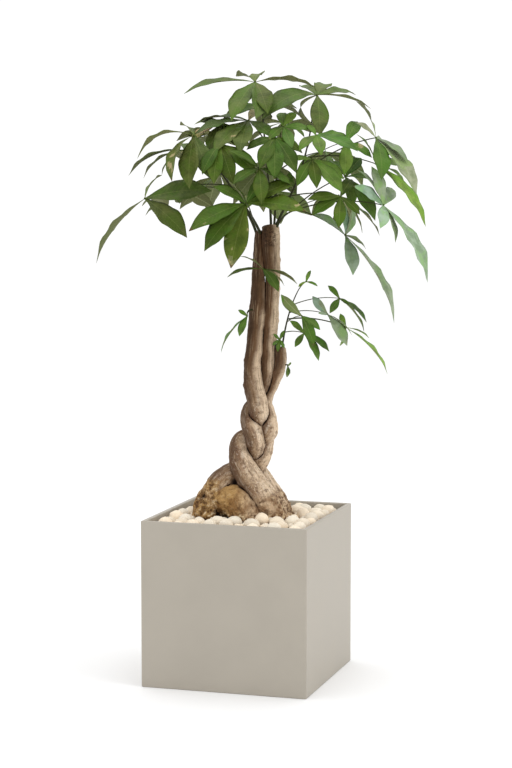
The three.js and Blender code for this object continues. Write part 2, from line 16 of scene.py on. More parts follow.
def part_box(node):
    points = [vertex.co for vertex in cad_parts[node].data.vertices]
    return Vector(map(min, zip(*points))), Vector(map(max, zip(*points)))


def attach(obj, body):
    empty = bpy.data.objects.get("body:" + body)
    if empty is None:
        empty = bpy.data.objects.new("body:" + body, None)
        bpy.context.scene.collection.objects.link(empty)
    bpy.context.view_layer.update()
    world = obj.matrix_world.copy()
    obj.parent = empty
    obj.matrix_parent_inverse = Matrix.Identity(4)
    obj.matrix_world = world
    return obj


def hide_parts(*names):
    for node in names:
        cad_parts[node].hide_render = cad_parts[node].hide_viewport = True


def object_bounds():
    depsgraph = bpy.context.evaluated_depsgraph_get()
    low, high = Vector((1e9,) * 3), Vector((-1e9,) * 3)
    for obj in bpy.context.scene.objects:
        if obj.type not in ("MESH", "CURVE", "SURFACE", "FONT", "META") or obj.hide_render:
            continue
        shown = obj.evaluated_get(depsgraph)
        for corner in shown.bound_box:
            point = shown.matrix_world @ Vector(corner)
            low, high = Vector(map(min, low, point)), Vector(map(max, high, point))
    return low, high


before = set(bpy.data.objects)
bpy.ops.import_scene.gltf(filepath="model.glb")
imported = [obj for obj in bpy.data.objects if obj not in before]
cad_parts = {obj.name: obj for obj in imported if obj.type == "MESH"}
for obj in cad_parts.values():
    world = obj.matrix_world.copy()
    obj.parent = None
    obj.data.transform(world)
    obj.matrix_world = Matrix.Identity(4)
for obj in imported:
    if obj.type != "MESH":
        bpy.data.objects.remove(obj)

bl_info = {
    "name": "Potted money tree",
    "version": (1, 0, 0),
    "blender": (4, 5, 0),
    "location": "3D View > Sidebar > Money Tree",
    "description": "Dresses a potted money tree's fixed frame: leaves, bark, pebbles and planter",
    "category": "Add Mesh",
}

CAD_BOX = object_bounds()
MM = 0.001
TREE_TURN = math.radians(17.2)
BODY = "root"

# The planter's corners and the gravel bed, in metres.
POT_LOW, POT_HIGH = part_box("planter")
BED_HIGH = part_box("pebble_layer")[1]
BED_TOP = 0.373
BED_DEPTH = 0.012
BED_CELLS = 70

# The largest face, in square metres, that belongs to the planter's rounded edges.
LARGEST_ROUNDED = 0.004

# The frame's rule for its large pebbles, in millimetres. They keep off each row of a stem that lies
# within a height of the bed's top.
PEBBLE_LARGEST = 19
PEBBLE_SMALLEST = 15
PEBBLE_TRIES = 600
PEBBLE_RISE = 14
PEBBLE_SPACING = 0.96
PEBBLE_LIFT = 4
PEBBLE_LIFT_RANGE = 3
MOUND_RADIUS = 190
ROOTED_WITHIN = 50

# The small pebbles between the large ones, in millimetres.
SMALL_PEBBLE_LARGEST = 14
SMALL_PEBBLE_RANGE = 9.5
SMALL_PEBBLE_SPACING = 0.84

# The foliage as the frame has it, in millimetres and degrees.
BLADE_WIDTH = 0.36
BLADE_WAIST = 1.25
STALK_WIDTH = 1.4
BLADE_ARCH = 0.07
BLADE_FOLD = 0.2
SMALL_LEAF = 125
PETIOLE_RADIUS = 1.9
SMALL_PETIOLE_RADIUS = 1.3
HUB_RADIUS = 4.5
SMALL_HUB_RADIUS = 3.4
PETIOLE_RISE = 0.14
BOW_STEP = 10
BOWS = 9
SWING_STEP = 3.5
SWINGS = 60
GOLDEN_ANGLE = 137.5
FAN_LEAFLETS = 5
FAN_SPREAD = 245
FAN_ROLL = 80
FAN_TURN_RANGE = 12
FAN_DROOP_RANGE = 24
FAN_SHORTER = 0.75

# A leaf without a stated face leans outwards by its hub's right and away over this, in millimetres.
LEAN_REACH = 400

# The slots of a leafy shoot's materials.
UPPER_SIDE = 0
UNDER_SIDE = 1
STALK = 2

# How slim shoots, petioles and hubs are against the frame's, and how much of it a petiole loses.
SHOOT_SLENDER = 0.78
PETIOLE_SLENDER = 0.95
PETIOLE_TAPER = 0.3
HUB_SLENDER = 0.6

# How high the domed ends of stems, shoots and petioles are, against their radius.
DOME_SHARE = 0.4
DOME_STEPS = 6

# The faces around and along a shoot, a petiole and a leaflet, and around a stem.
SHOOT_CELLS = (12, 26)
PETIOLE_CELLS = (8, 18)
BLADE_CELLS = (6, 16)
STEM_SIDES = 84

# The bark, in metres: the rings of a stem and of the root lobe, the heights between which the plait
# and the roots' crust end, the relief, and the leaf scars down from each stem's top.
RING_SPACING = 0.003
LOBE_RING_SPACING = 0.0028
PLAIT_TOP = (0.6, 0.74)
CRUST_TOP = (0.44, 0.485)
LUMP_HEIGHT = 0.0017
FOLD_HEIGHT = 0.0005
SCARS = 5
SCAR_FIRST = 0.07
SCAR_STEP = 0.075
SCAR_SHIFT = 0.02
SCAR_WIDTH = 0.004
SCAR_HEIGHT = 0.0016
SCAR_REACH = 0.016

# The seeds of the frame's own draws, and of those that only this script takes.
FRAME_SEEDS = {"pebbles": 21, "leaves": 7}
SEEDS = {"pebbles": 5, "stems": 11, "leaves": 3}

# The length of a leaflet's waves, in metres.
WAVE_LENGTH = 0.09

# The colours of green stalks, and of the gravel under the pebbles, made dark to paint the shade in
# the gaps between them.
SHOOT_COLOUR = "31351d"
PETIOLE_COLOUR = "3c441f"
HUB_COLOUR = "4c5a28"
GRAVEL_GAP_SHADE = "3f2c1c"

# How near a corner of the frame's solid has to be to a worked-out place, to be that place.
SAME_PLACE = 0.03 * MM

# How far the leaves stay inside the frame's box.
BOX_ROOM = 0.8 * MM

# The camera stands where the photograph was taken from, and aims at a point given by right and up.
CAMERA_TURN = math.radians(17.235)
CAMERA_DIP = math.radians(5.787)
CAMERA_DISTANCE = 4.8995
CAMERA_AIM = (0.01726, 0.69736)
CAMERA_LENS = 97.14

# The studio, in metres and watts: each lamp's right, away and up, its size and its power.
FLOOR_REACH = 30
WORLD_LIGHT = 1.06
LAMP_AIM = Vector((0, 0, 0.8))
LAMPS = {"key": (2.6, -1.6, 3.2, 1.6, 22), "top": (0, 0.3, 3.6, 2.4, 32)}

# Each stem is a list of right, away, up and radius, from its cut top down to its foot in the soil.
STEMS = {
    "stem_left": (
        (26.5, 5, 1060, 12), (25, 3, 1000, 14.5), (22, -2, 930, 16.2), (18.5, -6, 870, 17.4),
        (14, -8, 800, 18.4), (9, -9, 745, 19.5), (11, -11, 702, 22), (18, -17, 664, 24),
        (24, -17, 634, 23), (28, -4, 610, 20), (35, 15, 589, 18), (42, 24, 569, 17),
        (43, 21, 550, 17), (39, 11, 530, 17.5), (29, 4, 511, 19), (9, 3, 497, 22),
        (-14, 7, 486, 28), (-39, 7, 478, 31), (-64, 2, 460, 33), (-79, -3, 434, 34),
        (-90, -5, 404, 40), (-93, -4, 372, 40), (-95, 0, 335, 30), (-95, 0, 300, 20)
    ),
    "stem_middle": (
        (52, -3, 1074, 20.5), (52.5, -3, 1035, 21), (53.5, -2, 995, 20), (55.5, 1, 945, 17.8),
        (54.5, 4, 895, 17.6), (51.5, 5, 838, 18.4), (47.5, 5, 790, 18), (46, 6, 745, 16),
        (43.5, 11, 702, 16), (30, 22, 668, 17), (11, 26, 645, 18), (0, 12, 624, 19),
        (3, -11, 602, 21), (13, -23, 578, 22.5), (17, -18, 553, 20.5), (14, 3, 530, 17),
        (18, 21, 507, 17), (28, 29, 482, 19), (41, 26, 458, 22.5), (56, 22, 430, 26.5),
        (69, 20, 400, 30), (77, 20, 370, 31), (78, 20, 330, 25), (78, 20, 300, 16)
    ),
    "stem_right": (
        (74.5, -2, 786, 12.5), (76, -2, 757, 13.5), (72, 1, 730, 13), (60.5, 8, 702, 13),
        (48.5, 15, 674, 13.5), (42, 16, 650, 14.5), (45, 6, 629, 17), (48, -7, 606, 19),
        (48, -14, 584, 20.5), (31, -6, 571, 18), (6, 8, 571, 18), (-15, 7, 565, 21),
        (-22.5, -4, 547, 23), (-19, -20, 518, 26.5), (-5, -28, 490, 30.5), (14, -30, 460, 34),
        (30, -30, 432, 36.5), (47, -30, 402, 38), (52, -28, 370, 40), (54, -26, 330, 32),
        (54, -26, 300, 20)
    ),
}
ROOT_LOBE = (
    (-84, -6, 430, 26), (-58, -21, 422, 33), (-27, -35, 421, 39), (-6, -45, 384, 38),
    (-2, -46, 330, 27)
)

# The stems' pieces, and how much painted shade each gets above, and between which heights.
BARK_NAMES = {"stem_left": "bark_left", "stem_middle": "bark_middle", "stem_right": "bark_right"}
PAINTED_SHADE_ABOVE = {
    "stem_left": (0.36, 0.7, 0.92),
    "stem_middle": (0.12, 0.86, 0.95),
    "stem_right": (0.25, 0.7, 0.78),
}

# The direction from which painted light falls on each stem's lit side, and the middle of the
# painted shade under the left root's arch.
SUNNY_SIDE = (1, -0.25, 0)
ARCH_SHADE = (-29, -22, 466)

# The middle of a rough dark scar near the middle stem's top, in metres of the planter's frame.
OLD_SCAR = (0.0504, -0.0068, 1.043)

# A shoot's route and radii run from its stem outwards. A leaf starts at a share of that route, and
# has its leaflets' tips or a fan's heading, reach and droop. A tip is right, away and up, and where
# it differs the angle that the leaflet is rolled by and how much it arches.
Shoot = namedtuple("Shoot", "node radii path leaves")
Leaf = namedtuple("Leaf", "start tint hub face tips fan", defaults=(None, None, None))
# The blue tint is leaf green paled by a painted sheen.
SHOOTS = (
    Shoot("leafy_shoot_top", (4.2, 2.1),
          ((53, 4, 1050), (52, -2, 1130), (40, -10, 1230), (30, -6, 1360)), (
        Leaf(1, "olive", (15, 0, 1405), (0, -0.35, 1), (
            (-150, -30, 1380, -9), (-40, -95, 1315), (18, -112, 1318, 40), (45, -98, 1330),
            (155, 15, 1396, 28), (30, 105, 1428, 20), (-30, 90, 1424, -30))),
        Leaf(0.8, "fresh", (80, -60, 1300), (0, -0.8, 0.6), (
            (75, 0, 1335), (110, -20, 1335), (140, -70, 1295), (100, -110, 1250),
            (45, -100, 1270))),
        Leaf(0.75, "olive", (0, -30, 1315), (-0.1, -0.5, 1), (
            (-120, 20, 1315, -20), (-125, -60, 1285, -10), (-80, -120, 1240), (-20, -135, 1240),
            (55, -90, 1275), (30, 50, 1340))),
        Leaf(0.65, "deep", (60, -90, 1275), (0, -0.7, 0.8), (
            (-10, -110, 1280), (25, -150, 1205), (60, -160, 1180), (110, -140, 1195),
            (125, -80, 1240))),
        Leaf(0.45, "deep", (25, -130, 1205), (0, -0.6, 1), (
            (-45, -140, 1245), (-35, -180, 1170), (30, -190, 1125), (95, -170, 1185),
            (55, -90, 1250))),
        Leaf(0.85, "deep", (35, 110, 1355), fan=(95, 140, 15)),
    )),
    Shoot("leafy_shoot_right", (4.4, 2.1),
          ((60, 6, 1060), (78, 8, 1110), (132, -6, 1180), (148, -6, 1320)), (
        Leaf(1, "olive", (160, 10, 1375), (0.1, -0.4, 1), (
            (285, -20, 1345, 22), (165, -70, 1280), (149, -35, 1305, -87, 0.4), (120, 80, 1400),
            (29, -70, 1330, 12, 0.18), (185, 120, 1405), (255, 80, 1380))),
        Leaf(0.8, "fresh", (155, -90, 1280), (0, -0.6, 1), (
            (135, -60, 1305), (115, -140, 1245), (165, -160, 1235), (250, -120, 1245),
            (245, -30, 1265))),
        Leaf(0.7, "fresh", (225, -60, 1265), (0.2, -0.7, 0.8), (
            (220, -110, 1190), (190, -30, 1295), (255, 10, 1315), (285, -70, 1230))),
        Leaf(0.62, "pale", (295, -40, 1275), (0.4, -0.4, 1), (
            (248, -60, 1310, 12), (254, 20, 1362, -40), (340, 90, 1235), (370, -60, 1220),
            (390, -80, 1145), (305, -120, 1180))),
        Leaf(0.75, "fresh", (300, 40, 1215), (0.6, -0.2, 1), (
            (255, 20, 1285), (350, 120, 1270), (385, 110, 1205), (365, 0, 1175),
            (420, 20, 1070, -11))),
        Leaf(0.55, "fresh", (145, -120, 1225), (0, -0.7, 0.8), (
            (215, -150, 1150), (220, -110, 1180), (155, -170, 1160), (110, -160, 1165),
            (95, -110, 1225))),
    )),
    Shoot("leafy_shoot_low_right", (3.8, 2.1),
          ((62, -11, 1056), (72, -26, 1090), (90, -34, 1104), (112, -34, 1108)), (
        Leaf(1, "blue", (225, -40, 1050), (0.4, -0.6, 1), (
            (150, -70, 1100), (212, -20, 1132, -20), (245, 20, 1120, -50), (272, -80, 1020, 50),
            (242, -90, 960), (343, -60, 848, 29))),
        Leaf(0.9, "blue", (310, -90, 1120), (0.5, -0.8, 0.6), (
            (250, -100, 1203, -30), (285, -60, 1210), (240, -140, 1165), (300, -160, 1070),
            (338, -120, 1036, 30), (416, -100, 945, 28), (335, -20, 1160))),
        Leaf(0.6, "deep", (210, -120, 1140), (0.1, -0.8, 0.7), (
            (135, -150, 1135), (145, -150, 1100), (205, -160, 1070), (255, -130, 1100),
            (240, -60, 1180))),
        Leaf(0.75, "fresh", (225, -30, 1185), (0.3, -0.6, 0.9), (
            (235, -80, 1115), (295, -60, 1085), (285, -60, 1180), (265, 20, 1230),
            (190, 20, 1225))),
    )),
    Shoot("leafy_shoot_left", (4.4, 2.1),
          ((19, 4, 1050), (2, -6, 1110), (-56, -30, 1180), (-96, -40, 1240)), (
        Leaf(0.6, "olive", (-240, -60, 1135), (-0.3, -0.5, 1), (
            (-355, -80, 988, -42), (-140, -120, 1048), (-85, -90, 1155, -25),
            (-205, 10, 1190, 40), (-190, 40, 1115))),
        Leaf(1, "olive", (-125, -80, 1280), (-0.3, -0.4, 1), (
            (-258, -60, 1229, -27, 0.2), (-175, -150, 1175, -20, 0.17), (-135, -150, 1160),
            (-85, -130, 1180), (-155, 0, 1305, -45))),
        Leaf(0.9, "olive", (-60, -10, 1310), (-0.3, -0.4, 1), (
            (-130, 30, 1315), (-135, -60, 1265), (-90, -80, 1240), (-25, -80, 1255),
            (-20, 60, 1335))),
        Leaf(0.8, "deep", (-65, -100, 1260), (-0.2, -0.7, 0.8), (
            (20, -140, 1200), (-35, -150, 1170), (-80, -160, 1175), (-115, -140, 1195),
            (-25, -40, 1305))),
    )),
    Shoot("leafy_shoot_front", (3.8, 2.1),
          ((27, -4, 1052), (22, -40, 1066), (10, -76, 1084), (4, -112, 1108)), (
        Leaf(1, "deep", (-5, -150, 1125), (0, -0.7, 0.8), (
            (-135, -190, 1065), (-100, -200, 1020), (-40, -190, 980), (130, -190, 1110),
            (105, -150, 1180), (40, -130, 1185), (-80, -150, 1165))),
    )),
    Shoot("leafy_shoot_back", (4.4, 2.1),
          ((56, 10, 1010), (62, 66, 1080), (66, 110, 1170), (74, 140, 1270)), (
        Leaf(1, "deep", (80, 160, 1315), fan=(88, 130, 18)),
        Leaf(0.75, "fresh", (185, 190, 1245), fan=(35, 155, 30)),
        Leaf(0.65, "deep", (50, 250, 1220), fan=(95, 160, 35)),
        Leaf(0.5, "deep", (215, 110, 1140), fan=(15, 150, 40)),
        Leaf(0.45, "fresh", (60, 215, 1150), fan=(85, 145, 22)),
    )),
    Shoot("leafy_shoot_back_left", (4.4, 2.1),
          ((29, 10, 1048), (16, 60, 1090), (-46, 90, 1160), (-90, 120, 1230)), (
        Leaf(1, "olive", (-85, 150, 1290), fan=(95, 130, 15)),
        Leaf(0.85, "deep", (-152, 40, 1248), (-0.3, 0.3, 1), (
            (-286, 60, 1190, 11, 0.12), (-251, 60, 1183, 14, 0.12), (-207, 50, 1188, 18, 0.12),
            (-160, 180, 1225), (-110, 190, 1265))),
        Leaf(0.7, "deep", (-70, 240, 1190), fan=(105, 155, 38)),
        Leaf(0.6, "deep", (-160, 180, 1150), fan=(145, 140, 18)),
    )),
    Shoot("leafy_shoot_low", (3.2, 1.5),
          ((77, -3, 772), (84, -6, 826), (95, -6, 880), (118, -6, 922)), (
        Leaf(1, "backlit_lime", (135, -5, 940), (0, -0.5, 1), (
            (117, -12, 928), (146, 2, 966), (162, -10, 930))),
        Leaf(0.72, "fresh", (214, 0, 900), (0.2, -0.8, 0.6), (
            (187, 10, 930), (236, -10, 886), (278, -20, 846, 35), (275, 20, 820, 60),
            (190, -30, 868))),
        Leaf(0.6, "blue", (185, -40, 865), (0.2, -0.8, 0.6), (
            (149, -30, 907, 40), (163, -55, 869), (231, -50, 793), (242, -35, 818, 50))),
        Leaf(0.5, "backlit_lime", (230, 20, 830), (0.3, -0.6, 0.8), (
            (217, 35, 862, 40), (284, 0, 808, 30), (331, 10, 722, 35), (216, 20, 786, 50))),
        Leaf(0.3, "fresh", (130, -30, 820), (0.1, -0.8, 0.6), (
            (108, -50, 790), (97, -30, 850), (165, -40, 757, 25), (190, -30, 778, 25))),
        Leaf(0.45, "fresh", (124, -50, 862), (0.1, -0.8, 0.6), (
            (152, -78, 797), (167, -60, 831), (75, -50, 912, 50))),
        Leaf(0.12, "fresh", (73, -22, 804), (-0.1, -0.8, 0.6), (
            (56, -32, 792), (68, -36, 778), (84, -30, 786), (58, -22, 818), (84, -20, 826))),
    )),
    Shoot("trunk_leaf", (3.5, 2.2),
          ((54, -4, 936), (47, -24, 940), (41, -38, 952), (35, -46, 965)), (
        Leaf(1, "deep", (34, -50, 972), (0, -0.6, 0.9), (
            (-50, -70, 955, -25), (-18, -50, 1002, -50), (70, -90, 922), (84, -66, 934, 60),
            (114, -50, 938, 50))),
    )),
    Shoot("left_trunk_leaf", (3, 2.2),
          ((12, -14, 874), (3, -26, 876), (-1, -34, 874), (-3, -38, 868)), (
        Leaf(1, "fresh", (-3, -42, 862), (-0.2, -0.8, 0.8), (
            (-66, -55, 778, -50), (-22, -60, 816), (-24, -46, 876, 20))),
    )),
    Shoot("side_sprout", (2.6, 1.8),
          ((80, -4, 742), (88, -10, 744), (91, -14, 745), (92, -15, 744)), (
        Leaf(1, "fresh", (92, -16, 742), (0.4, -0.8, 0.3), (
            (90, -22, 716), (97, -18, 722, 40), (100, -14, 750))),
    )),
)

# Single leaflets in a colour other than their leaf's: the node, the leaf and the leaflet.
LEAFLET_TINTS = {
    ("leafy_shoot_right", 4, 4): "backlit_lime",
    ("leafy_shoot_right", 3, 5): "fresh",
    ("leafy_shoot_right", 5, 2): "deep",
    ("leafy_shoot_right", 5, 3): "deep",
    ("leafy_shoot_left", 2, 1): "dry",
    ("leafy_shoot_top", 2, 5): "dry",
    ("leafy_shoot_low", 3, 2): "backlit_lime",
}


def paint(code):
    """A colour written as six hexadecimal digits, as the linear numbers that a shader takes."""
    parts = [int(code[i : i + 2], 16) / 255 for i in (0, 2, 4)]
    return tuple(p / 12.92 if p <= 0.04045 else ((p + 0.055) / 1.055) ** 2.4 for p in parts)


def colour_setting(name, description, code):
    return bpy.props.FloatVectorProperty(
        name=name, description=description, subtype="COLOR", default=paint(code)
    )


def length_setting(name, description, default):
    return bpy.props.FloatProperty(
        name=name, description=description, default=default, unit="LENGTH"
    )


class FoliageSettings(bpy.types.PropertyGroup):
    """Sizes and colours of the leaves."""

    thickness: length_setting("Blade thickness", "Thickness of a leaflet", 0.0007)
    waviness: bpy.props.FloatProperty(
        name="Waviness", default=0.014, min=0, max=0.05,
        description="Height of the waves along a leaflet's edge, against its length",
    )
    drawn_tip: bpy.props.FloatProperty(
        name="Drawn-out tip", default=0.2, min=0, max=0.8,
        description="How much narrower a leaflet is before its tip than an ellipse",
    )
    side_veins: bpy.props.IntProperty(
        name="Side veins", description="Side veins on each half of a leaflet",
        default=15, min=4, max=30,
    )
    olive: colour_setting("Olive leaves", "Colour of the sunlit top leaves", "5c6834")
    deep: colour_setting("Deep green leaves", "Colour of the inner leaves", "4a5d20")
    fresh: colour_setting("Fresh green leaves", "Colour of younger leaves", "5b7534")
    # Young leaves, painted bright yellow-green as if light shone through them from behind.
    backlit_lime: colour_setting("Lime leaves", "Colour of the youngest leaves", "7b993f")
    # Leaf green on the right, paled by a painted sheen.
    blue: colour_setting("Blue-green leaves", "Colour of the waxy leaves on the right", "92a48b")
    # A pale grey-green for some leaves on the right.
    pale: colour_setting("Pale leaves", "Colour of the grey, weathered leaves", "8f967b")
    dry: colour_setting("Dry patches", "Colour of bleached and dry places", "a89a72")


class BarkSettings(bpy.types.PropertyGroup):
    """Relief and colours of the stems."""

    grain_depth: length_setting("Grain depth", "Depth of the streaks in the bark", 0.0006)
    crust_depth: length_setting("Crust depth", "Depth of the crumbly crust on the roots", 0.0045)
    upper: colour_setting("Upper bark", "Colour of the upper stems", "664c35")
    lower: colour_setting("Lower bark", "Colour of the plait", "a2876a")
    # The colour of the painted light on each stem's lit side.
    bleached: colour_setting("Painted lit bark", "Colour of each stem's lighter side", "e0c8ab")
    root: colour_setting("Root crust", "Colour of the roots' crust", "b8925d")


class PotSettings(bpy.types.PropertyGroup):
    """Sizes and colours of the planter and what fills it."""

    wall: length_setting("Wall", "Thickness of the planter's wall", 0.015)
    floor: length_setting("Floor", "Thickness of the planter's floor", 0.012)
    edge: length_setting("Edge", "Rounding of the planter's edges", 0.0025)
    colour: colour_setting("Planter", "Colour of the planter", "aca599")
    pebble: colour_setting("Pebbles", "Colour of the pebbles", "efe5d3")
    soil: colour_setting("Soil", "Colour of the soil", "3a2a1e")
    small_pebbles: bpy.props.IntProperty(
        name="Small pebbles", description="Draws for small pebbles between the large ones",
        default=7000, min=0, max=20000,
    )


class TreeSettings(bpy.types.PropertyGroup):
    """All that a user would change on the tree."""

    foliage: bpy.props.PointerProperty(type=FoliageSettings)
    bark: bpy.props.PointerProperty(type=BarkSettings)
    pot: bpy.props.PointerProperty(type=PotSettings)


class Wire:
    """A value in a material, on which Python's operators add Math nodes."""

    def __init__(self, finish, socket):
        self.finish = finish
        self.socket = socket

    def maths(self, operation, *values):
        sockets = dict(enumerate(values))
        return self.finish.add("ShaderNodeMath", {"operation": operation}, sockets)

    def __add__(self, other):
        return self.maths("ADD", self, other)

    def __radd__(self, other):
        return self.maths("ADD", other, self)

    def __sub__(self, other):
        return self.maths("SUBTRACT", self, other)

    def __rsub__(self, other):
        return self.maths("SUBTRACT", other, self)

    def __mul__(self, other):
        return self.maths("MULTIPLY", self, other)

    def __rmul__(self, other):
        return self.maths("MULTIPLY", other, self)

    def __abs__(self):
        return self.maths("ABSOLUTE", self)

    def fraction(self):
        return self.maths("FRACT", self)

    def rise(self, low, high):
        """0 below low, 1 above high and smooth in between; it falls where high is the lower."""
        settings = {"interpolation_type": "SMOOTHSTEP"}
        return self.finish.add(
            "ShaderNodeMapRange", settings, {"Value": self, "From Min": low, "From Max": high}
        )


class Finish:
    """A material on the Principled shader."""

    def __init__(self, name, **shader):
        self.material = bpy.data.materials.new(name)
        self.material.use_nodes = True
        self.tree = self.material.node_tree
        self.shader = self.tree.nodes["Principled BSDF"]
        for socket, value in shader.items():
            self.shader.inputs[socket.replace("_", " ")].default_value = value

    def add(self, kind, settings=None, sockets=None, output=0):
        """Any node, with its settings, what goes into its sockets, and the output that is used."""
        node = self.tree.nodes.new(kind)
        for name, value in (settings or {}).items():
            setattr(node, name, value)
        for key, value in (sockets or {}).items():
            self.feed(node.inputs[key], value)
        return Wire(self, node.outputs[output])

    def feed(self, socket, value):
        if isinstance(value, Wire):
            self.tree.links.new(value.socket, socket)
        elif socket.type == "RGBA" and len(value) == 3:
            socket.default_value = (*value, 1)
        else:
            socket.default_value = value

    def show(self, **inputs):
        """Connects what changes over the surface."""
        for socket, value in inputs.items():
            self.feed(self.shader.inputs[socket.replace("_", " ")], value)
        return self.material

    def mix(self, factor, first, second, blend="MIX", label=""):
        settings = {"data_type": "RGBA", "blend_type": blend, "label": label}
        return self.add("ShaderNodeMix", settings, {0: factor, 6: first, 7: second}, output=2)

    def coats(self, colour, coats):
        """A colour under named coats, each with how far it covers and its own colour."""
        for name, (cover, coat) in coats.items():
            coat = paint(coat) if isinstance(coat, str) else coat
            colour = self.mix(cover, colour, coat, label=name)
        return colour

    def own_place(self):
        return self.add("ShaderNodeTexCoord", output="Object")

    def attribute(self, name, output="Fac"):
        return self.add("ShaderNodeAttribute", {"attribute_name": name}, output=output)

    def axis(self, vector, name):
        return self.add("ShaderNodeSeparateXYZ", None, {0: vector}, output=name)

    def vector_maths(self, operation, first, second=(0, 0, 0), output="Value"):
        sockets = {0: first, 1: second}
        return self.add("ShaderNodeVectorMath", {"operation": operation}, sockets, output)

    def cloud(self, vector, scale, detail=3.0, roughness=0.5, distortion=0.0):
        """Soft noise from 0 to 1."""
        sockets = {"Vector": vector, "Scale": scale, "Detail": detail, "Roughness": roughness}
        return self.add("ShaderNodeTexNoise", None, {**sockets, "Distortion": distortion})

    def drawn_out(self, vector, scale, roughness=0.5, distortion=0.0):
        """Soft noise with its own scale on each axis."""
        vector = self.vector_maths("MULTIPLY", vector, scale, "Vector")
        return self.cloud(vector, 1.0, 4.0, roughness, distortion)

    def cells(self, vector, scale):
        """Distance from the middle of the nearest of many scattered cells."""
        return self.add("ShaderNodeTexVoronoi", None, {"Vector": vector, "Scale": scale})

    def relief(self, height, depth, strength=1.0):
        sockets = {"Height": height, "Distance": depth, "Strength": strength}
        return self.add("ShaderNodeBump", None, sockets)


def planter_finish(pot):
    """Smooth satin coat with a hardly visible mottle."""
    finish = Finish("planter_satin", Specular_IOR_Level=0.22)
    place = finish.own_place()
    mottle = finish.cloud(place, 9.0, 4.0, 0.55)
    speck = finish.cloud(place, 420.0, 2.0)
    colour = finish.coats([c * 0.955 for c in pot.colour], {
        "mottle": (mottle.rise(0.25, 0.75), pot.colour[:]),
        "specks": (speck.rise(0.62, 0.8) * 0.06, "8f877c"),
        # Darker towards the bottom.
        "darker towards the foot": (finish.axis(place, "Z").rise(0.035, 0.0) * 0.05, "8a8175"),
    })
    relief = finish.relief(speck, 0.00012, 0.35)
    return finish.show(Base_Color=colour, Roughness=0.36 + mottle * 0.12, Normal=relief)


def soil_finish(pot):
    """Dark crumbly potting mix."""
    finish = Finish("potting_mix", Specular_IOR_Level=0.2)
    place = finish.own_place()
    crumbs = finish.cells(place, 260.0)
    clods = finish.cloud(place, 70.0, 5.0, 0.65)
    colour = finish.coats([c * 0.45 for c in pot.soil], {
        "clods": (clods.rise(0.35, 0.7), pot.soil[:]),
        "crumbs": (crumbs.rise(0.3, 0.1) * 0.5, "6b543c"),
    })
    relief = finish.relief(clods - crumbs, 0.003)
    return finish.show(Base_Color=colour, Roughness=0.85 + clods * 0.1, Normal=relief)


def pebble_finish():
    """Cream stone, each pebble in its own shade, with faint bands and grains."""
    finish = Finish("pebble_stone", Specular_IOR_Level=0.35)
    place = finish.own_place()
    bands = finish.drawn_out(place, (55.0, 55.0, 165.0), 0.6, 0.6)
    grains = finish.cloud(place, 900.0, 2.0)
    colour = finish.coats(finish.attribute("shade", "Color"), {
        "bands": (bands.rise(0.45, 0.8) * 0.3, "cdbba1"),
        "grains": (grains.rise(0.6, 0.75) * 0.18, "a08e76"),
    })
    relief = finish.relief(grains + bands, 0.0003, 0.5)
    return finish.show(Base_Color=colour, Roughness=0.55 + bands * 0.2, Normal=relief)


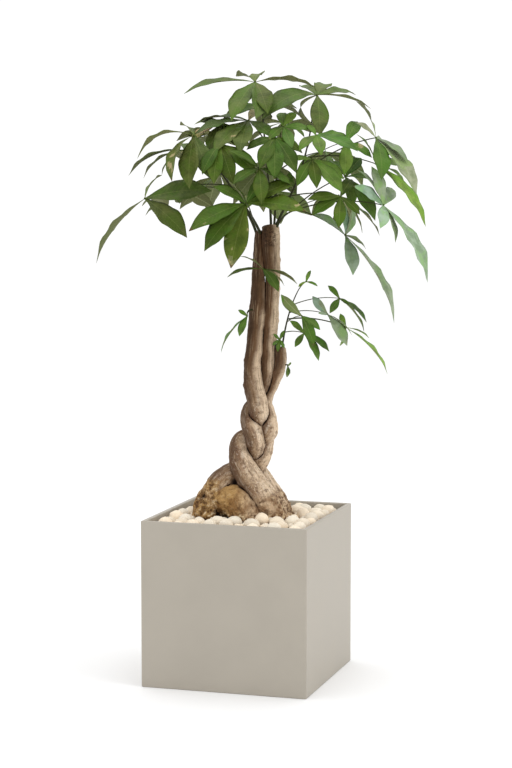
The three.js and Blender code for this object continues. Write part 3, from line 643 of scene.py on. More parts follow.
def bark_finish(bark):
    """Brown streaked bark above, paler and mottled in the plait, with crumbly crust on roots and
    painted light and shade.
    """
    finish = Finish("bark", Specular_IOR_Level=0.15)
    place = finish.own_place()
    x, y, height = (finish.axis(place, name) for name in "XYZ")
    grain = finish.attribute("grain", "Vector")
    # Painted shade in the bark's pits, cracks and hollows, and where strands meet.
    depth = finish.attribute("crevice_shade")
    crust = finish.attribute("crust")
    # How far each place is painted as lit, from the stem's side that faces the light.
    painted_light = finish.attribute("painted_light")
    patches = finish.cloud(place, 20.0, 4.0, 0.6)
    mottle = finish.cloud(place, 85.0, 5.0, 0.7)
    flakes = finish.cloud(place, 190.0, 4.0, 0.7, 0.6)
    ridges = finish.drawn_out(grain, (110.0, 110.0, 28.0), 0.65, 0.4)
    streaks = finish.drawn_out(grain, (300.0, 300.0, 14.0), 0.6)
    specks = finish.cloud(place, 300.0, 3.0, 0.7)
    plait = (height + patches * 0.16).rise(0.86, 0.64)
    # Painted shade on each stem's side away from the light; pale ridges and flakes show most on the
    # painted lit side.
    dim = (painted_light - plait * 0.12).rise(0.5, 0.12)
    lobe = y.rise(-0.02, -0.05) * x.rise(-0.075, -0.045)
    smooth_part = lobe * height.rise(0.39, 0.41) * 0.85
    uneven = 1.0 - smooth_part
    rooty = finish.coats(bark.root[:], {
        "sandy right root": (x.rise(-0.02, 0.04), "d4b898"),
        "dark patches": (patches.rise(0.54, 0.42) * 0.65, "7d562f"),
        "pale crumbs": (mottle.rise(0.53, 0.61) * uneven * 0.8, "ecd8b4"),
        "dark crumbs": (mottle.rise(0.49, 0.4) * uneven * 0.85, "4a2f1a"),
        "flakes": (flakes.rise(0.44, 0.38) * (1.0 - smooth_part * 0.8) * 0.5, "6b4626"),
    })
    scar = finish.vector_maths("DISTANCE", place, OLD_SCAR).rise(0.03, 0.016)
    shaded = finish.mix(plait, paint("3d2b1e"), paint("523c2d"))
    colour = finish.coats(bark.upper[:], {
        "plait": (plait, bark.lower[:]),
        "reddish patches": (patches.rise(0.48, 0.6) * plait * 0.5, "8a6853"),
        "shaded side": (dim * 0.84, shaded),
        "painted lit side": (painted_light.rise(0.5, 0.9) * (0.65 + patches * 0.5), bark.bleached[:]),
        "pale streaks": (streaks.rise(0.54, 0.66) * (0.35 - plait * 0.1), "c6ad8d"),
        "dark streaks": (streaks.rise(0.48, 0.36) * (0.5 - plait * 0.2), "42301f"),
        "pale ridges": (ridges.rise(0.52, 0.64) * plait * (0.45 - dim * 0.3), "e9d9c4"),
        "dark furrows": (ridges.rise(0.48, 0.36) * (0.2 + plait * 0.35), "624431"),
        "mottle": (mottle.rise(0.5, 0.34) * (0.4 + plait * 0.25), "523826"),
        "pale flakes": (flakes.rise(0.56, 0.66) * plait * (0.55 - dim * 0.4), "eedfca"),
        "dark flakes": (flakes.rise(0.46, 0.36) * plait * 0.4, "634531"),
        "crust on the roots": (crust, rooty),
        # Painted contact shade at the roots' foot, where they meet the pebbles.
        "painted shade at the foot": ((height + mottle * 0.03).rise(0.405, 0.388) * 0.7, "3d2616"),
        "specks": (specks.rise(0.58, 0.66) * 0.45, "4a3423"),
        "scar": (scar * flakes.rise(0.52, 0.44) * 0.75, "2c1d14"),
        # Painted shade, soft at the rims of hollows and dark deep in them.
        "soft painted shade": (depth.rise(0.0, 0.5) * 0.7, "543822"),
        "dark painted shade": (depth.rise(0.4, 0.85) * 0.97, "170c06"),
    })
    rough = (1.0 - crust) * (streaks * 0.4 + flakes * 0.5 + ridges * 0.8) + specks * 0.35
    rough = rough + crust * (mottle + flakes - finish.cells(place, 150.0))
    relief = finish.relief(rough, 0.0036, 0.9)
    return finish.show(Base_Color=colour, Roughness=0.75 + specks * 0.2, Normal=relief)


def blade_finish(foliage, upper):
    """A leaflet's face: a light midrib, side veins between which it swells, and dry places."""
    name = "leaf_upper_side" if upper else "leaf_under_side"
    finish = Finish(name, Specular_IOR_Level=0.1 if upper else 0.06)
    place = finish.own_place()
    spot = finish.add("ShaderNodeUVMap", {"uv_map": "blade"})
    across, along = finish.axis(spot, "X"), finish.axis(spot, "Y")
    side = abs(across * 2.0 - 1.0)
    turn = (along - side * 0.1 - side * side * 0.06) * float(foliage.side_veins)
    apart = 0.5 - abs(turn.fraction() - 0.5)
    vein = apart.rise(0.1, 0.02) * side.rise(1.1, 0.2)
    rib = (finish.attribute("from_rib") + along * 0.0005).rise(0.0014, 0.0006)
    tint = finish.attribute("tint", "Color")
    dryness = finish.attribute("dryness")
    blotches = finish.cloud(place, 34.0, 3.0, 0.55)
    fine = finish.cloud(place, 300.0, 2.0)
    hues = finish.cloud(place, 21.0, 3.0, 0.6, 0.8)
    dark = finish.mix(1.0, tint, (0.6, 0.66, 0.56), "MULTIPLY")
    green = finish.mix(1.0, tint, (0.72, 0.98, 0.5), "MULTIPLY")
    bleached = (blotches + dryness * 0.35).rise(0.93, 1.0)
    burnt = (along + dryness * 0.12 + fine * 0.03).rise(1.05, 1.08)
    if upper:
        veins = {"side veins": (vein * 0.06, "93a05c"), "midrib": (rib * 0.14, "a3aa68")}
    else:
        veins = {
            "paler side": (0.5, "7e7c5c"),
            "side veins": (vein * 0.2, "97a177"),
            "midrib": (rib * 0.5, "a5aa7c"),
        }
    colour = finish.coats(tint, {
        "dark blotches": (blotches.rise(0.62, 0.36), dark),
        "greener places": (hues.rise(0.44, 0.62) * 0.75, green),
        **veins,
        "dry places": (bleached * 0.8, foliage.dry[:]),
        "burnt tip": (burnt * 0.85, "5b4a2c"),
    })
    swell = apart.rise(0.0, 0.35) * 0.7 + rib * (-0.8 if upper else 1.2) + fine * 0.25
    gloss = 0.42 if upper else 0.6
    return finish.show(
        Base_Color=colour,
        Roughness=gloss + blotches * 0.12 + bleached * 0.2,
        Normal=finish.relief(swell, 0.0007, 0.4 if upper else 0.35),
    )


def stalk_finish():
    """Green leaf stalks and shoots, browner where they leave the bark."""
    finish = Finish("leaf_stalk", Specular_IOR_Level=0.12)
    mottle = finish.cloud(finish.own_place(), 90.0)
    brown = {"brown mottle": (mottle.rise(0.35, 0.7) * 0.6, "383822")}
    return finish.show(
        Base_Color=finish.coats(finish.attribute("tint", "Color"), brown),
        Roughness=0.45 + mottle * 0.15,
        Normal=finish.relief(mottle, 0.0003, 0.6),
    )


def floor_finish():
    """White floor, a touch darker near the planter, where its shadow falls."""
    finish = Finish("floor_white", Roughness=0.9, Specular_IOR_Level=0.1)
    place = finish.own_place()
    distance = finish.vector_maths("LENGTH", place)
    return finish.show(Base_Color=finish.coats((0.915, 0.916, 0.92), {
        "mottle": (finish.cloud(place, 3.0), (0.925, 0.926, 0.93)),
        "far off": (distance.rise(0.35, 1.4), (0.97, 0.97, 0.97)),
    }))


def tree_point(row):
    """A row of the tables, right, away and up, as a point of the planter's frame in metres."""
    right, away, up = row[:3]
    cos, sin = math.cos(TREE_TURN), math.sin(TREE_TURN)
    return Vector((right * cos - away * sin, right * sin + away * cos, up)) * MM


def tree_direction(row):
    return tree_point(row).normalized()


def smooth(low, high, value):
    """0 below low, 1 above high and smooth in between."""
    t = min(max((value - low) / (high - low), 0), 1)
    return t * t * (3 - 2 * t)


def fading(low, high, value):
    return 1 - smooth(low, high, value)


def spline(values, place):
    """A smooth run through equally spaced values, at a place counted in values."""
    last = len(values) - 1
    i = min(int(place), last - 1)
    t = place - i
    before = values[i - 1] if i > 0 else values[0] * 2 - values[1]
    after = values[i + 2] if i + 2 <= last else values[last] * 2 - values[last - 1]
    start, end = values[i], values[i + 1]
    leave, arrive = (end - before) * 0.5, (after - start) * 0.5
    bend, twist = (end - start) * 3 - leave * 2 - arrive, (start - end) * 2 + leave + arrive
    return start + leave * t + bend * t * t + twist * t * t * t


def bezier(points, t):
    """A point of the curve of three or four control points."""
    while len(points) > 1:
        points = [a.lerp(b, t) for a, b in zip(points, points[1:])]
    return points[0]


class Route:
    """A curve measured along its length."""

    STEPS = 200

    def __init__(self, curve):
        self.curve = curve
        samples = [curve(i / self.STEPS) for i in range(self.STEPS + 1)]
        self.runs = [0.0]
        for a, b in zip(samples, samples[1:]):
            self.runs.append(self.runs[-1] + (b - a).length)
        self.length = self.runs[-1]

    def at(self, distance):
        """The curve's fraction and its point at a distance from its start."""
        i = min(max(bisect.bisect_right(self.runs, distance) - 1, 0), self.STEPS - 1)
        share = (distance - self.runs[i]) / (self.runs[i + 1] - self.runs[i])
        fraction = (i + min(share, 1.0)) / self.STEPS
        return fraction, self.curve(fraction)

    def evenly(self, count):
        return [self.at(self.length * step / count) for step in range(count + 1)]


def crosswise(points):
    """Two directions across a route and one along it at each point, with as few turns as can be."""
    afters, befores = [*points[1:], points[-1]], [points[0], *points[:-1]]
    ways = [(after - before).normalized() for after, before in zip(afters, befores)]
    first = ways[0].orthogonal().normalized()
    sets = []
    for way in ways:
        first = (first - way * first.dot(way)).normalized()
        sets.append((first, way.cross(first), way))
    return sets


def faces_on(made):
    """The faces on the corners that an operator made, in a steady order."""
    corners = [vert for vert in made["verts"] if vert.is_valid]
    return list(dict.fromkeys(face for vert in corners for face in vert.link_faces))


def rolled(bm, sides, rings, surface, material):
    """A closed bar: a grid rolled up by a function of around and ring, which ends in two points."""
    made = bmesh.ops.create_grid(bm, x_segments=sides, y_segments=rings, size=0.5)
    for vert in made["verts"]:
        ring = round((vert.co.y + 0.5) * rings)
        vert.co = surface(vert, vert.co.x + 0.5, ring)
    bmesh.ops.remove_doubles(bm, verts=made["verts"], dist=1e-6)
    faces = faces_on(made)
    for face in faces:
        face.material_index = material
    bmesh.ops.recalc_face_normals(bm, faces=faces)


def green_bar(bm, layers, curve, radius, cells, colour):
    """A shoot or petiole as a round bar with domed ends."""
    sides, rings = cells
    route = Route(curve).evenly(rings - 2)
    across = crosswise([point for _, point in route])
    route = [route[0], *route, route[-1]]
    across = [across[0], *across, across[-1]]

    def surface(vert, around, ring):
        t, point = route[ring]
        first, second, way = across[ring]
        thick = radius(t) * (0 if ring in (0, rings) else 1)
        angle = 2 * math.pi * around
        vert[layers["tint"]] = (*paint(colour), 1)
        reach = radius(t) * DOME_SHARE * ((ring == rings) - (ring == 0))
        return point + (first * math.cos(angle) + second * math.sin(angle)) * thick + way * reach

    rolled(bm, sides, rings, surface, STALK)


def seeded(seed):
    """Random numbers from 0 to 1, as the frame's leaves and pebbles were laid by."""
    mask = 0xFFFFFFFF
    state = seed

    def draw():
        nonlocal state
        state = (state + 0x6D2B79F5) & mask
        mixed = ((state ^ (state >> 15)) * (1 | state)) & mask
        mixed = ((mixed + (((mixed ^ (mixed >> 7)) * (61 | mixed)) & mask)) ^ mixed) & mask
        return (mixed ^ (mixed >> 14)) / (mask + 1)

    return draw


def searchable(points):
    """Points to be searched by place."""
    tree = kdtree.KDTree(len(points))
    for i, point in enumerate(points):
        tree.insert(point, i)
    tree.balance()
    return tree


def corners_of(node):
    return searchable([vert.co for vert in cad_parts[node].data.vertices])


def leaf_tips(leaf, draw):
    """Tip, roll and arch of each leaflet, from the table or in a fan with shorter ones outside."""
    if leaf.tips:
        return [(tree_point(tip), *tip[3:], *(0, BLADE_ARCH)[len(tip) - 3 :]) for tip in leaf.tips]
    tips = []
    right, away, up = leaf.hub
    heading, reach, droop = leaf.fan
    for i in range(FAN_LEAFLETS):
        spread = i / (FAN_LEAFLETS - 1) - 0.5
        turn = math.radians(heading + spread * FAN_SPREAD + FAN_TURN_RANGE * (draw() - 0.5))
        dip = math.radians(droop + FAN_DROOP_RANGE * (draw() - 0.5))
        length = reach * (1 - FAN_SHORTER * abs(spread)) * (0.9 + 0.2 * draw())
        level, drop = length * math.cos(dip), length * math.sin(dip)
        spot = (right + level * math.cos(turn), away + level * math.sin(turn), up - drop)
        tips.append((tree_point(spot), FAN_ROLL * (draw() - 0.5), BLADE_ARCH))
    return tips


def blade_axes(hub, tip, face, roll=0):
    """A leaflet's run from hub to tip, the way across it and the way that its upper side faces."""
    run = tip - hub
    side = run.cross(face).normalized()
    lift = side.cross(run).normalized()
    side = side * math.cos(math.radians(roll)) + lift * math.sin(math.radians(roll))
    return run, side, side.cross(run).normalized()


def swung_tip(hub, tip, face, swing):
    """A leaflet's tip after some swings along a widening spiral round its first direction."""
    run, side, lift = blade_axes(hub, tip, face)
    turn = math.radians(GOLDEN_ANGLE * swing)
    reach = run.length * math.tan(math.radians(SWING_STEP * math.sqrt(swing)))
    swung = run + side * (reach * math.cos(turn)) + lift * (reach * math.sin(turn))
    return hub + swung.normalized() * run.length


def found_tip(corners, hub, tip, face):
    """The swung tip that the frame's solid has."""
    for swing in range(SWINGS):
        swung = swung_tip(hub, tip, face, swing)
        if corners.find(swung)[2] < SAME_PLACE:
            return swung
    return tip


def petiole_curve(start, hub, bow):
    run = hub - start
    side = Vector((-run.y, run.x, 0)).normalized()
    steps = math.ceil(bow / 2) * (1 if bow % 2 else -1)
    rise = Vector((0, 0, PETIOLE_RISE * run.length))
    middle = start.lerp(hub, 0.5) + rise + side * (steps * BOW_STEP * MM)
    return lambda t: bezier([start, middle, hub], t)


def found_petiole(corners, start, hub, radius):
    """The bowed petiole whose rings of corners the frame's solid has."""

    room = 2 * SAME_PLACE

    def likeness(bow):
        rings = Route(petiole_curve(start, hub, bow)).evenly(3)[1:3]
        near = [hit for _, point in rings for hit in corners.find_range(point, radius + room)]
        return sum(abs(distance - radius) < room for _, _, distance in near)

    return petiole_curve(start, hub, max(range(BOWS), key=likeness))


def within_frame(point):
    """The nearest point that lies inside the frame's box, a little off its sides."""
    low, high = CAD_BOX
    return Vector([min(max(point[i], low[i] + BOX_ROOM), high[i] - BOX_ROOM) for i in range(3)])


def leaflet(bm, layers, foliage, hub, tip, roll, arch, face, tint, draws):
    """A thin elliptic blade with a drawn-out tip, waved along its edges and a little twisted."""
    run, side, lift = blade_axes(hub, tip, face, roll)
    length = run.length
    phase, lag = draws.uniform(0, 1), draws.uniform(0.2, 0.8)
    waves = 1.6 + length / WAVE_LENGTH
    twist = draws.uniform(-0.3, 0.3)
    wave_height = foliage.waviness * length * draws.uniform(0.6, 1.3)
    dryness = draws.random() ** 2
    stalk = STALK_WIDTH * MM
    cells_across, cells_along = BLADE_CELLS
    made = bmesh.ops.create_grid(
        bm, x_segments=cells_across, y_segments=cells_along, size=0.5, calc_uvs=True
    )
    for vert in made["verts"]:
        across = 2 * vert.co.x
        t = (vert.co.y + 0.5) ** 0.92
        # The stalk swells into the blade, which narrows early and runs out in a thin tip.
        bulge = math.sin(math.pi * t**BLADE_WAIST)
        drawn = 1 - foliage.drawn_tip * smooth(0.78, 0.94, t) * fading(0.94, 1.0, t)
        half = (stalk + (BLADE_WIDTH * length * 0.5 - stalk) * bulge) * drawn
        half *= 1 - smooth(0.93, 1.0, t) * 0.97
        # Both halves fold up from the midrib, and their edges wave out of step.
        fold = BLADE_FOLD * abs(across) ** 1.25 * (half - stalk * (1 - t))
        ripple = math.sin(2 * math.pi * (waves * t + phase + (lag if across > 0 else 0)))
        wave = wave_height * across * across * ripple * bulge
        bow = 4 * arch * length * t * (1 - t) - 0.02 * length * smooth(0.8, 1.0, t)
        lean = twist * (t - 0.35) * bulge
        out = side * math.cos(lean) + lift * math.sin(lean)
        vert.co = within_frame(hub + run * t + out * (across * half) + lift * (bow + wave + fold))
        vert[layers["tint"]] = (*tint, 1)
        vert[layers["from_rib"]] = abs(across) * half
        vert[layers["dryness"]] = dryness
    upper = faces_on(made)
    for face in upper:
        face.material_index = UPPER_SIDE
    walled = bmesh.ops.solidify(bm, geom=upper, thickness=foliage.thickness)
    for item in walled["geom"]:
        if isinstance(item, bmesh.types.BMFace):
            item.material_index = UNDER_SIDE


def varied(colour, draws):
    """A leaf colour made a little lighter, darker, yellower or bluer."""
    light = draws.uniform(0.8, 1.22)
    warm = draws.uniform(-0.12, 0.12)
    return (colour[0] * light * (1 + warm), colour[1] * light, colour[2] * light * (1 - warm))


def placed(name, data):
    """A new object in the scene."""
    made = bpy.data.objects.new(name, data)
    bpy.context.scene.collection.objects.link(made)
    return made


def finished_piece(name, bm, node, materials):
    """A mesh as a piece that rides on the body and replaces its node."""
    mesh = bpy.data.meshes.new(name)
    bm.to_mesh(mesh)
    bm.free()
    mesh.polygons.foreach_set("use_smooth", [True] * len(mesh.polygons))
    for material in materials:
        mesh.materials.append(material)
    piece = placed(name, mesh)
    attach(piece, BODY)
    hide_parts(node)
    return piece


def leafy_shoot(shoot, foliage, draw, draws, materials):
    """A green shoot with its petioles and leaves, laid out as the frame's solid is."""
    bm = bmesh.new()
    layers = {
        "uv": bm.loops.layers.uv.new("blade"),
        "tint": bm.verts.layers.float_color.new("tint"),
        "from_rib": bm.verts.layers.float.new("from_rib"),
        "dryness": bm.verts.layers.float.new("dryness"),
    }
    corners = corners_of(shoot.node)
    path = [tree_point(row) for row in shoot.path]
    foot, end = (radius * SHOOT_SLENDER * MM for radius in shoot.radii)
    shoot_curve = lambda t: bezier(path, t)
    taper = lambda t: foot + (end - foot) * t
    green_bar(bm, layers, shoot_curve, taper, SHOOT_CELLS, SHOOT_COLOUR)
    for order, leaf in enumerate(shoot.leaves):
        tips = leaf_tips(leaf, draw)
        hub = tree_point(leaf.hub)
        right, away, _ = leaf.hub
        face = tree_direction(leaf.face or (right / LEAN_REACH, away / LEAN_REACH, 1))
        small = all((tip - hub).length < SMALL_LEAF * MM for tip, _, _ in tips)
        radius = (SMALL_PETIOLE_RADIUS if small else PETIOLE_RADIUS) * MM
        curve = found_petiole(corners, shoot_curve(leaf.start), hub, radius)
        taper = lambda t: radius * (PETIOLE_SLENDER - PETIOLE_TAPER * t)
        green_bar(bm, layers, curve, taper, PETIOLE_CELLS, PETIOLE_COLOUR)
        knob_radius = HUB_SLENDER * MM * (SMALL_HUB_RADIUS if small else HUB_RADIUS)
        knob = bmesh.ops.create_icosphere(bm, subdivisions=2, radius=knob_radius)
        for vert in knob["verts"]:
            vert.co += hub
            vert[layers["tint"]] = (*paint(HUB_COLOUR), 1)
        for part in faces_on(knob):
            part.material_index = STALK
        for number, (tip, roll, arch) in enumerate(tips):
            base = getattr(foliage, LEAFLET_TINTS.get((shoot.node, order, number), leaf.tint))
            swung = found_tip(corners, hub, tip, face)
            leaflet(bm, layers, foliage, hub, swung, roll, arch, face, varied(base, draws), draws)
    return finished_piece(shoot.node + "_leaves", bm, shoot.node, materials)


def crust_at(place):
    """How far the crust covers a place, from 0 to 1; it climbs the left root's outer side."""
    level = place.z + 0.05 * noise.noise(place * 26) + 0.35 * min(place.x + 0.1, 0.05)
    return fading(*CRUST_TOP, level)


def bark_height(bark, grain, place, scars, crust, crusted):
    """How far the bark stands out at a place, in metres, and how much shade is painted in its pits
    and cracks, from 0 to 1.

    The root lobe is crusted all over, with softer pits and clods than the rest of the crust has.
    """
    plait = fading(*PLAIT_TOP, place.z)
    lumps = noise.fractal(place * 38, 1.0, 2.0, 3)
    streaks = noise.noise(Vector((grain.x * 150, grain.y * 150, grain.z * 12)))
    folds = noise.noise(Vector((grain.x * 30, grain.y * 30, grain.z * 170)))
    bare = 1 - crust
    height = LUMP_HEIGHT * lumps
    height += (bark.grain_depth * streaks + FOLD_HEIGHT * folds * plait) * bare
    for distance, way in scars:
        gap = (grain.z - distance) / SCAR_WIDTH
        if abs(gap) < 3:
            facing = max(0, (grain.x * math.cos(way) + grain.y * math.sin(way)) / SCAR_REACH)
            height += SCAR_HEIGHT * math.exp(-gap * gap) * facing
    crevice_shade = 0.0
    if crust > 0:
        crumbs = noise.voronoi(place * 95)[0][0]
        clods = noise.fractal(place * 60, 0.8, 2.1, 4)
        pits = smooth(0.2, 0.6, noise.noise(place * 44 + Vector((7, 3, 1))))
        pits *= fading(0.4, 0.44, place.z + 0.4 * max(place.x + 0.06, -0.05))
        if crusted:
            clods *= 0.5
            pits *= 0.4
        height += crust * bark.crust_depth * (0.55 - crumbs + 0.7 * clods - 1.6 * pits)
        # The crust's pits and cracks are painted dark with shade.
        cracks = smooth(0.1, 0.7, -clods) * 0.45 + smooth(0.6, 0.85, crumbs) * 0.3
        crevice_shade = crust * min(1, pits + cracks)
    return height, crevice_shade


def stem_line(rows):
    """The points and radii of a stem's rows, in metres."""
    return [tree_point(row) for row in rows], [row[3] * MM for row in rows]


def centres_of(rows, count=240):
    """Points along a stem's middle and the radius at each."""
    last = len(rows) - 1
    points, radii = stem_line(rows)
    places = [i * last / count for i in range(count + 1)]
    return [spline(points, place) for place in places], [spline(radii, place) for place in places]


def stem_bar(bm, layers, bark, rows, neighbours, darker, draws, crusted=False):
    """A stem through its rows, with a domed top, relief in its bark, painted shade beside strands
    and a painted lit side.
    """
    points, radii = stem_line(rows)
    last = len(rows) - 1
    route = Route(lambda t: spline(points, t * last))
    dome = radii[0] * DOME_SHARE
    quarter = [math.pi * k / (2 * DOME_STEPS) for k in range(DOME_STEPS + 1)]
    depths = [dome * (1 - math.cos(angle)) for angle in quarter]
    below = route.length - dome
    count = math.ceil(below / (LOBE_RING_SPACING if crusted else RING_SPACING))
    depths += [dome + below * (k + 1) / count for k in range(count)]
    bottom = len(depths) - 1
    stops = [route.at(depth) for depth in depths]
    across = crosswise([point for _, point in stops])
    offset = Vector((draws.uniform(1, 9), draws.uniform(1, 9), draws.uniform(1, 9)))
    sunny = tree_direction(SUNNY_SIDE)
    arch = tree_point(ARCH_SHADE)
    shading, low, high = darker
    scars = []
    for k in range(SCARS):
        distance = SCAR_FIRST + SCAR_STEP * k + draws.uniform(-SCAR_SHIFT, SCAR_SHIFT)
        scars.append((distance, draws.uniform(0, 6.28)))

    def surface(vert, around, ring):
        fraction, centre = stops[ring]
        first, second, _ = across[ring]
        thick = spline(radii, fraction * last)
        angle = 2 * math.pi * around
        domed = math.sqrt(1 - (1 - min(depths[ring] / dome, 1)) ** 2) if ring < bottom else 0
        out = first * math.cos(angle) + second * math.sin(angle)
        place = centre + out * thick
        grain = Vector((math.cos(angle) * thick, math.sin(angle) * thick, depths[ring]))
        crust = 1.0 if crusted else crust_at(place)
        height, crevice_shade = bark_height(bark, grain, place, scars, crust, crusted)
        # Shade is painted where strands come near each other, and they swell to close narrow gaps.
        for tree, thickness, apart in neighbours:
            _, i, distance = tree.find(place)
            gap = distance - thickness[i]
            near = max(fading(0.0005, 0.005, gap), 0.42 * fading(0, 0.015, gap))
            near *= 0.9 + 0.3 * noise.noise(place * 70)
            height += 0.42 * max(gap, 0) * fading(0.0035, 0.007, gap)
            crevice_shade = max(crevice_shade, near * (smooth(-0.06, -0.03, place.x) if apart else 1))
        # Painted shade under the left root's arch.
        crevice_shade = max(crevice_shade, 0.85 * fading(0.004, 0.027, (place - arch).length))
        # Each stem's side towards the light is painted lighter, less so on its upper part, where
        # shade is painted.
        sunlit = 0.5 + 0.5 * out.dot(sunny) + 0.14 * noise.noise(place * 30)
        vert[layers["grain"]] = grain + offset
        vert[layers["crevice_shade"]] = crevice_shade
        vert[layers["crust"]] = crust
        vert[layers["painted_light"]] = sunlit - shading * smooth(low, high, place.z)
        wide = thick * (1 + 0.05 * noise.noise(place * 16 + offset))
        return centre + out * (wide + height) * domed

    rolled(bm, STEM_SIDES, bottom, surface, 0)


def clear(x, y, radius, spots, spacing=1, gap=0):
    """Whether a round spot keeps off all others, by a share of both radii and a gap."""
    return all(math.hypot(x - a, y - b) > spacing * (radius + r) + gap for a, b, r in spots)


def bed_spots(draw, room):
    """The middles and radii, in millimetres, of the frame's pebbles and of the stems among them."""
    feet = []
    for rows in (*STEMS.values(), ROOT_LOBE):
        for row in rows:
            if abs(row[2] - BED_TOP / MM) <= ROOTED_WITHIN:
                middle = tree_point(row) / MM
                feet.append((middle.x, middle.y, row[3]))
    spots = []
    for radius in range(PEBBLE_LARGEST, PEBBLE_SMALLEST - 1, -1):
        for _ in range(PEBBLE_TRIES):
            x = (room - radius) * (2 * draw() - 1)
            y = (room - radius) * (2 * draw() - 1)
            if clear(x, y, radius, spots, PEBBLE_SPACING) and clear(x, y, radius, feet, gap=1):
                spots.append((x, y, radius))
    return spots, feet


def mound_at(x, y):
    """How much higher the bed is towards its middle, in millimetres."""
    return PEBBLE_RISE * max(0, 1 - math.hypot(x, y) / MOUND_RADIUS)


def pebble(bm, layers, middle, radius, flat, turn, shade, draws):
    """A smooth rounded stone, a little uneven; its place and radius are in millimetres."""
    made = bmesh.ops.create_icosphere(bm, subdivisions=2, radius=1)
    uneven = Vector((draws.uniform(0, 50), draws.uniform(0, 50), draws.uniform(0, 50)))
    cos, sin = math.cos(turn), math.sin(turn)
    for vert in made["verts"]:
        way = vert.co.normalized()
        reach = radius * MM * (1 + 0.14 * noise.noise(way * 1.1 + uneven))
        x, y, z = way.x * reach, way.y * reach * flat[0], way.z * reach * flat[1]
        vert.co = Vector(middle) * MM + Vector((x * cos - y * sin, x * sin + y * cos, z))
        vert[layers["shade"]] = (*shade, 1)


def pebble_shade(colour, draws):
    light = draws.uniform(0.9, 1.06)
    warm = draws.uniform(-0.01, 0.07)
    red, green, blue = (part * light for part in colour)
    return (min(1, red * (1 + warm)), min(1, green), blue * (1 - warm))


def gravel_bed(bm, layers, room):
    """A rough mound of gravel, dark with painted shade, which shows between the pebbles."""
    bed = bmesh.ops.create_grid(bm, x_segments=BED_CELLS, y_segments=BED_CELLS, size=BED_HIGH.x)
    for vert in bed["verts"]:
        x, y = vert.co.x / MM, vert.co.y / MM
        rough = 0.003 * noise.fractal(vert.co * 70, 1.0, 2.0, 3)
        edge = smooth(0, 8, room - max(abs(x), abs(y)))
        vert.co.z = BED_TOP + mound_at(x, y) * 0.8 * MM + rough * edge
        vert[layers["shade"]] = (*paint(GRAVEL_GAP_SHADE), 1)
    bmesh.ops.solidify(bm, geom=faces_on(bed), thickness=BED_DEPTH)


class MONEYTREE_OT_planter(bpy.types.Operator):
    """Square planter, open at the top, with thin walls and softly rounded edges"""

    bl_idname = "money_tree.planter"
    bl_label = "Planter"

    def execute(self, context):
        pot = context.scene.money_tree.pot
        bm = bmesh.new()
        made = bmesh.ops.create_cube(bm, size=1)
        size = POT_HIGH - POT_LOW
        bmesh.ops.scale(bm, vec=size, verts=made["verts"])
        bmesh.ops.translate(bm, vec=(POT_HIGH + POT_LOW) / 2, verts=made["verts"])
        top = max(bm.faces, key=lambda face: face.calc_center_median().z)
        bmesh.ops.inset_individual(bm, faces=[top], thickness=pot.wall)
        inner = bmesh.ops.extrude_discrete_faces(bm, faces=[top])["faces"]
        bmesh.ops.translate(bm, vec=(0, 0, pot.floor - size.z), verts=inner[0].verts[:])
        sharp = [edge for edge in bm.edges if edge.calc_face_angle(0) > 1]
        bmesh.ops.bevel(
            bm, geom=sharp, offset=pot.edge, affect="EDGES", segments=3, profile=0.5, material=-1
        )
        rounded = [face.calc_area() <= LARGEST_ROUNDED for face in bm.faces]
        piece = finished_piece("planter_shell", bm, "planter", [planter_finish(pot)])
        piece.data.polygons.foreach_set("use_smooth", rounded)
        return {"FINISHED"}


class MONEYTREE_OT_soil(bpy.types.Operator):
    """Soil below the pebbles: the frame's own solid in a crumbly finish"""

    bl_idname = "money_tree.soil"
    bl_label = "Potting soil"

    def execute(self, context):
        material = soil_finish(context.scene.money_tree.pot)
        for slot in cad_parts["potting_soil"].material_slots:
            slot.material = material
        return {"FINISHED"}


class MONEYTREE_OT_pebbles(bpy.types.Operator):
    """Rounded pebbles, tightly packed, with smaller ones between them on a gravel bed"""

    bl_idname = "money_tree.pebbles"
    bl_label = "Pebbles"

    def execute(self, context):
        pot = context.scene.money_tree.pot
        draw = seeded(FRAME_SEEDS["pebbles"])
        draws = random.Random(SEEDS["pebbles"])
        corners = corners_of("pebble_layer")
        bm = bmesh.new()
        layers = {"shade": bm.verts.layers.float_color.new("shade")}
        room = BED_HIGH.x / MM
        gravel_bed(bm, layers, room)
        spots, feet = bed_spots(draw, room)
        # The uppermost corner of the twenty-sided stones that the frame has.
        crown = Vector((0, 1, (1 + math.sqrt(5)) / 2)).normalized()
        for x, y, radius in spots:
            flat = (0.85 + 0.15 * draw(), 0.7 + 0.15 * draw())
            turn = math.pi * draw()
            up = BED_TOP / MM + PEBBLE_LIFT + mound_at(x, y) + PEBBLE_LIFT_RANGE * draw()
            tall = crown.y * flat[0] * radius
            high = up + crown.z * flat[1] * radius
            top = Vector((x - tall * math.sin(turn), y + tall * math.cos(turn), high)) * MM
            if corners.find(top)[2] < SAME_PLACE:
                shade = pebble_shade(pot.pebble, draws)
                full = (flat[0], flat[1] * 1.1)
                pebble(bm, layers, (x, y, up), radius, full, turn, shade, draws)
        taken = spots + feet
        for k in range(pot.small_pebbles):
            radius = SMALL_PEBBLE_LARGEST - SMALL_PEBBLE_RANGE * (k / pot.small_pebbles) ** 0.5
            x = draws.uniform(radius - room, room - radius)
            y = draws.uniform(radius - room, room - radius)
            if clear(x, y, radius, taken, SMALL_PEBBLE_SPACING):
                taken.append((x, y, radius))
                up = BED_TOP / MM + mound_at(x, y) + draws.uniform(-2, 2)
                flat = (draws.uniform(0.75, 1), draws.uniform(0.75, 0.95))
                shade = pebble_shade(pot.pebble, draws)
                pebble(bm, layers, (x, y, up), radius, flat, draws.uniform(0, 3), shade, draws)
        finished_piece("pebbles", bm, "pebble_layer", [pebble_finish()])
        return {"FINISHED"}


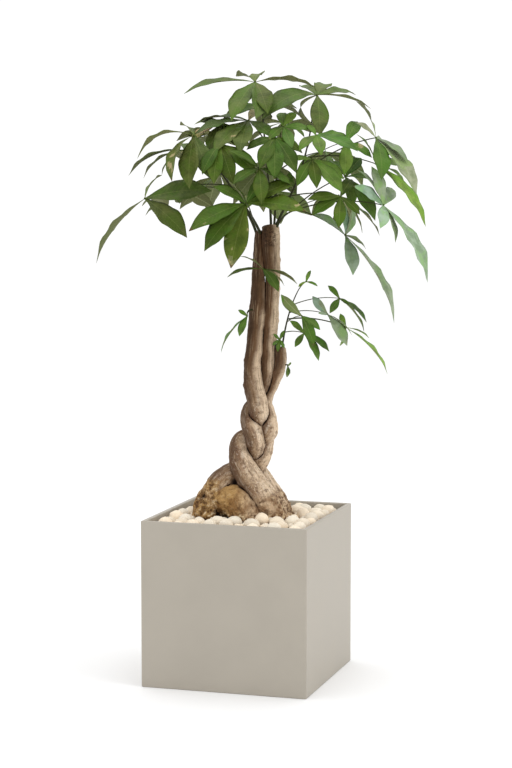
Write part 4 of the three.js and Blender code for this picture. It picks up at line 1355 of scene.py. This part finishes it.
class MONEYTREE_OT_stems(bpy.types.Operator):
    """Three stems, plaited below and side by side above, with crumbly roots at the foot"""

    bl_idname = "money_tree.stems"
    bl_label = "Stems"

    def execute(self, context):
        bark = context.scene.money_tree.bark
        material = bark_finish(bark)
        draws = random.Random(SEEDS["stems"])
        middles = {}
        for name, rows in {**STEMS, "root_lobe": ROOT_LOBE}.items():
            centres, thickness = centres_of(rows)
            middles[name] = (searchable(centres), thickness)

        def beside(strand):
            """The other strands, and whether one grows out of this one and is only partly apart."""
            family = {"stem_left", "root_lobe"}
            others = [other for other in middles if other != strand]
            return [(*middles[other], {other, strand} == family) for other in others]

        for name, rows in STEMS.items():
            bm = bmesh.new()
            layers = {"grain": bm.verts.layers.float_vector.new("grain")}
            for value in ("crevice_shade", "crust", "painted_light"):
                layers[value] = bm.verts.layers.float.new(value)
            darker = PAINTED_SHADE_ABOVE[name]
            stem_bar(bm, layers, bark, rows, beside(name), darker, draws)
            if name == "stem_left":
                stem_bar(bm, layers, bark, ROOT_LOBE, beside("root_lobe"), darker, draws, True)
            finished_piece(BARK_NAMES[name], bm, name, [material])
        return {"FINISHED"}


class MONEYTREE_OT_foliage(bpy.types.Operator):
    """Green shoots with petioles and palmate leaves"""

    bl_idname = "money_tree.foliage"
    bl_label = "Foliage"

    def execute(self, context):
        foliage = context.scene.money_tree.foliage
        materials = [blade_finish(foliage, True), blade_finish(foliage, False), stalk_finish()]
        draw = seeded(FRAME_SEEDS["leaves"])
        draws = random.Random(SEEDS["leaves"])
        for shoot in SHOOTS:
            leafy_shoot(shoot, foliage, draw, draws, materials)
        return {"FINISHED"}


class MONEYTREE_OT_stage(bpy.types.Operator):
    """Pale floor, soft studio light and the camera"""

    bl_idname = "money_tree.stage"
    bl_label = "Stage"

    def execute(self, context):
        scene = context.scene
        scene.view_settings.view_transform = "Standard"
        bm = bmesh.new()
        bmesh.ops.create_grid(bm, x_segments=1, y_segments=1, size=FLOOR_REACH)
        mesh = bpy.data.meshes.new("studio_floor")
        bm.to_mesh(mesh)
        bm.free()
        mesh.materials.append(floor_finish())
        floor = placed("studio_floor", mesh)
        world = bpy.data.worlds.new("studio")
        world.use_nodes = True
        background = world.node_tree.nodes["Background"]
        background.inputs["Color"].default_value = (1, 1, 1, 1)
        background.inputs["Strength"].default_value = WORLD_LIGHT
        scene.world = world
        right = Vector((math.cos(CAMERA_TURN), math.sin(CAMERA_TURN), 0))
        away = Vector((-right.y, right.x, 0))
        upward = Vector((0, 0, 1))
        for name, (x, y, z, size, power) in LAMPS.items():
            light = bpy.data.lights.new(name, "AREA")
            light.size = size
            light.energy = power
            lamp = placed(name, light)
            lamp.location = right * x + away * y + upward * z
            lamp.rotation_euler = (LAMP_AIM - lamp.location).to_track_quat("-Z", "Y").to_euler()
        camera = bpy.data.cameras.new("camera")
        camera.lens = CAMERA_LENS
        viewer = placed("camera", camera)
        ahead = away * math.cos(CAMERA_DIP) - upward * math.sin(CAMERA_DIP)
        viewer.location = right * CAMERA_AIM[0] + upward * CAMERA_AIM[1] - ahead * CAMERA_DISTANCE
        viewer.rotation_euler = ahead.to_track_quat("-Z", "Y").to_euler()
        scene.camera = viewer
        return {"FINISHED"}


class MONEYTREE_PT_panel(bpy.types.Panel):
    """Buttons and settings of the money tree"""

    bl_idname = "MONEYTREE_PT_panel"
    bl_label = "Money Tree"
    bl_space_type = "VIEW_3D"
    bl_region_type = "UI"
    bl_category = "Money Tree"

    def draw(self, context):
        for operator in OPERATORS:
            self.layout.operator(operator.bl_idname)
        tree = context.scene.money_tree
        for group in (tree.pot, tree.bark, tree.foliage):
            box = self.layout.box()
            for name in group.__annotations__:
                box.prop(group, name)


OPERATORS = (
    MONEYTREE_OT_planter,
    MONEYTREE_OT_soil,
    MONEYTREE_OT_pebbles,
    MONEYTREE_OT_stems,
    MONEYTREE_OT_foliage,
    MONEYTREE_OT_stage,
)
CLASSES = (FoliageSettings, BarkSettings, PotSettings, TreeSettings, *OPERATORS, MONEYTREE_PT_panel)


def register():
    for made in CLASSES:
        bpy.utils.register_class(made)
    bpy.types.Scene.money_tree = bpy.props.PointerProperty(type=TreeSettings)


def unregister():
    del bpy.types.Scene.money_tree
    for made in reversed(CLASSES):
        bpy.utils.unregister_class(made)


def main():
    """Dresses the frame."""
    register()
    bpy.ops.money_tree.planter()
    bpy.ops.money_tree.soil()
    bpy.ops.money_tree.pebbles()
    bpy.ops.money_tree.stems()
    bpy.ops.money_tree.foliage()
    bpy.ops.money_tree.stage()


if __name__ == "__main__":
    main()
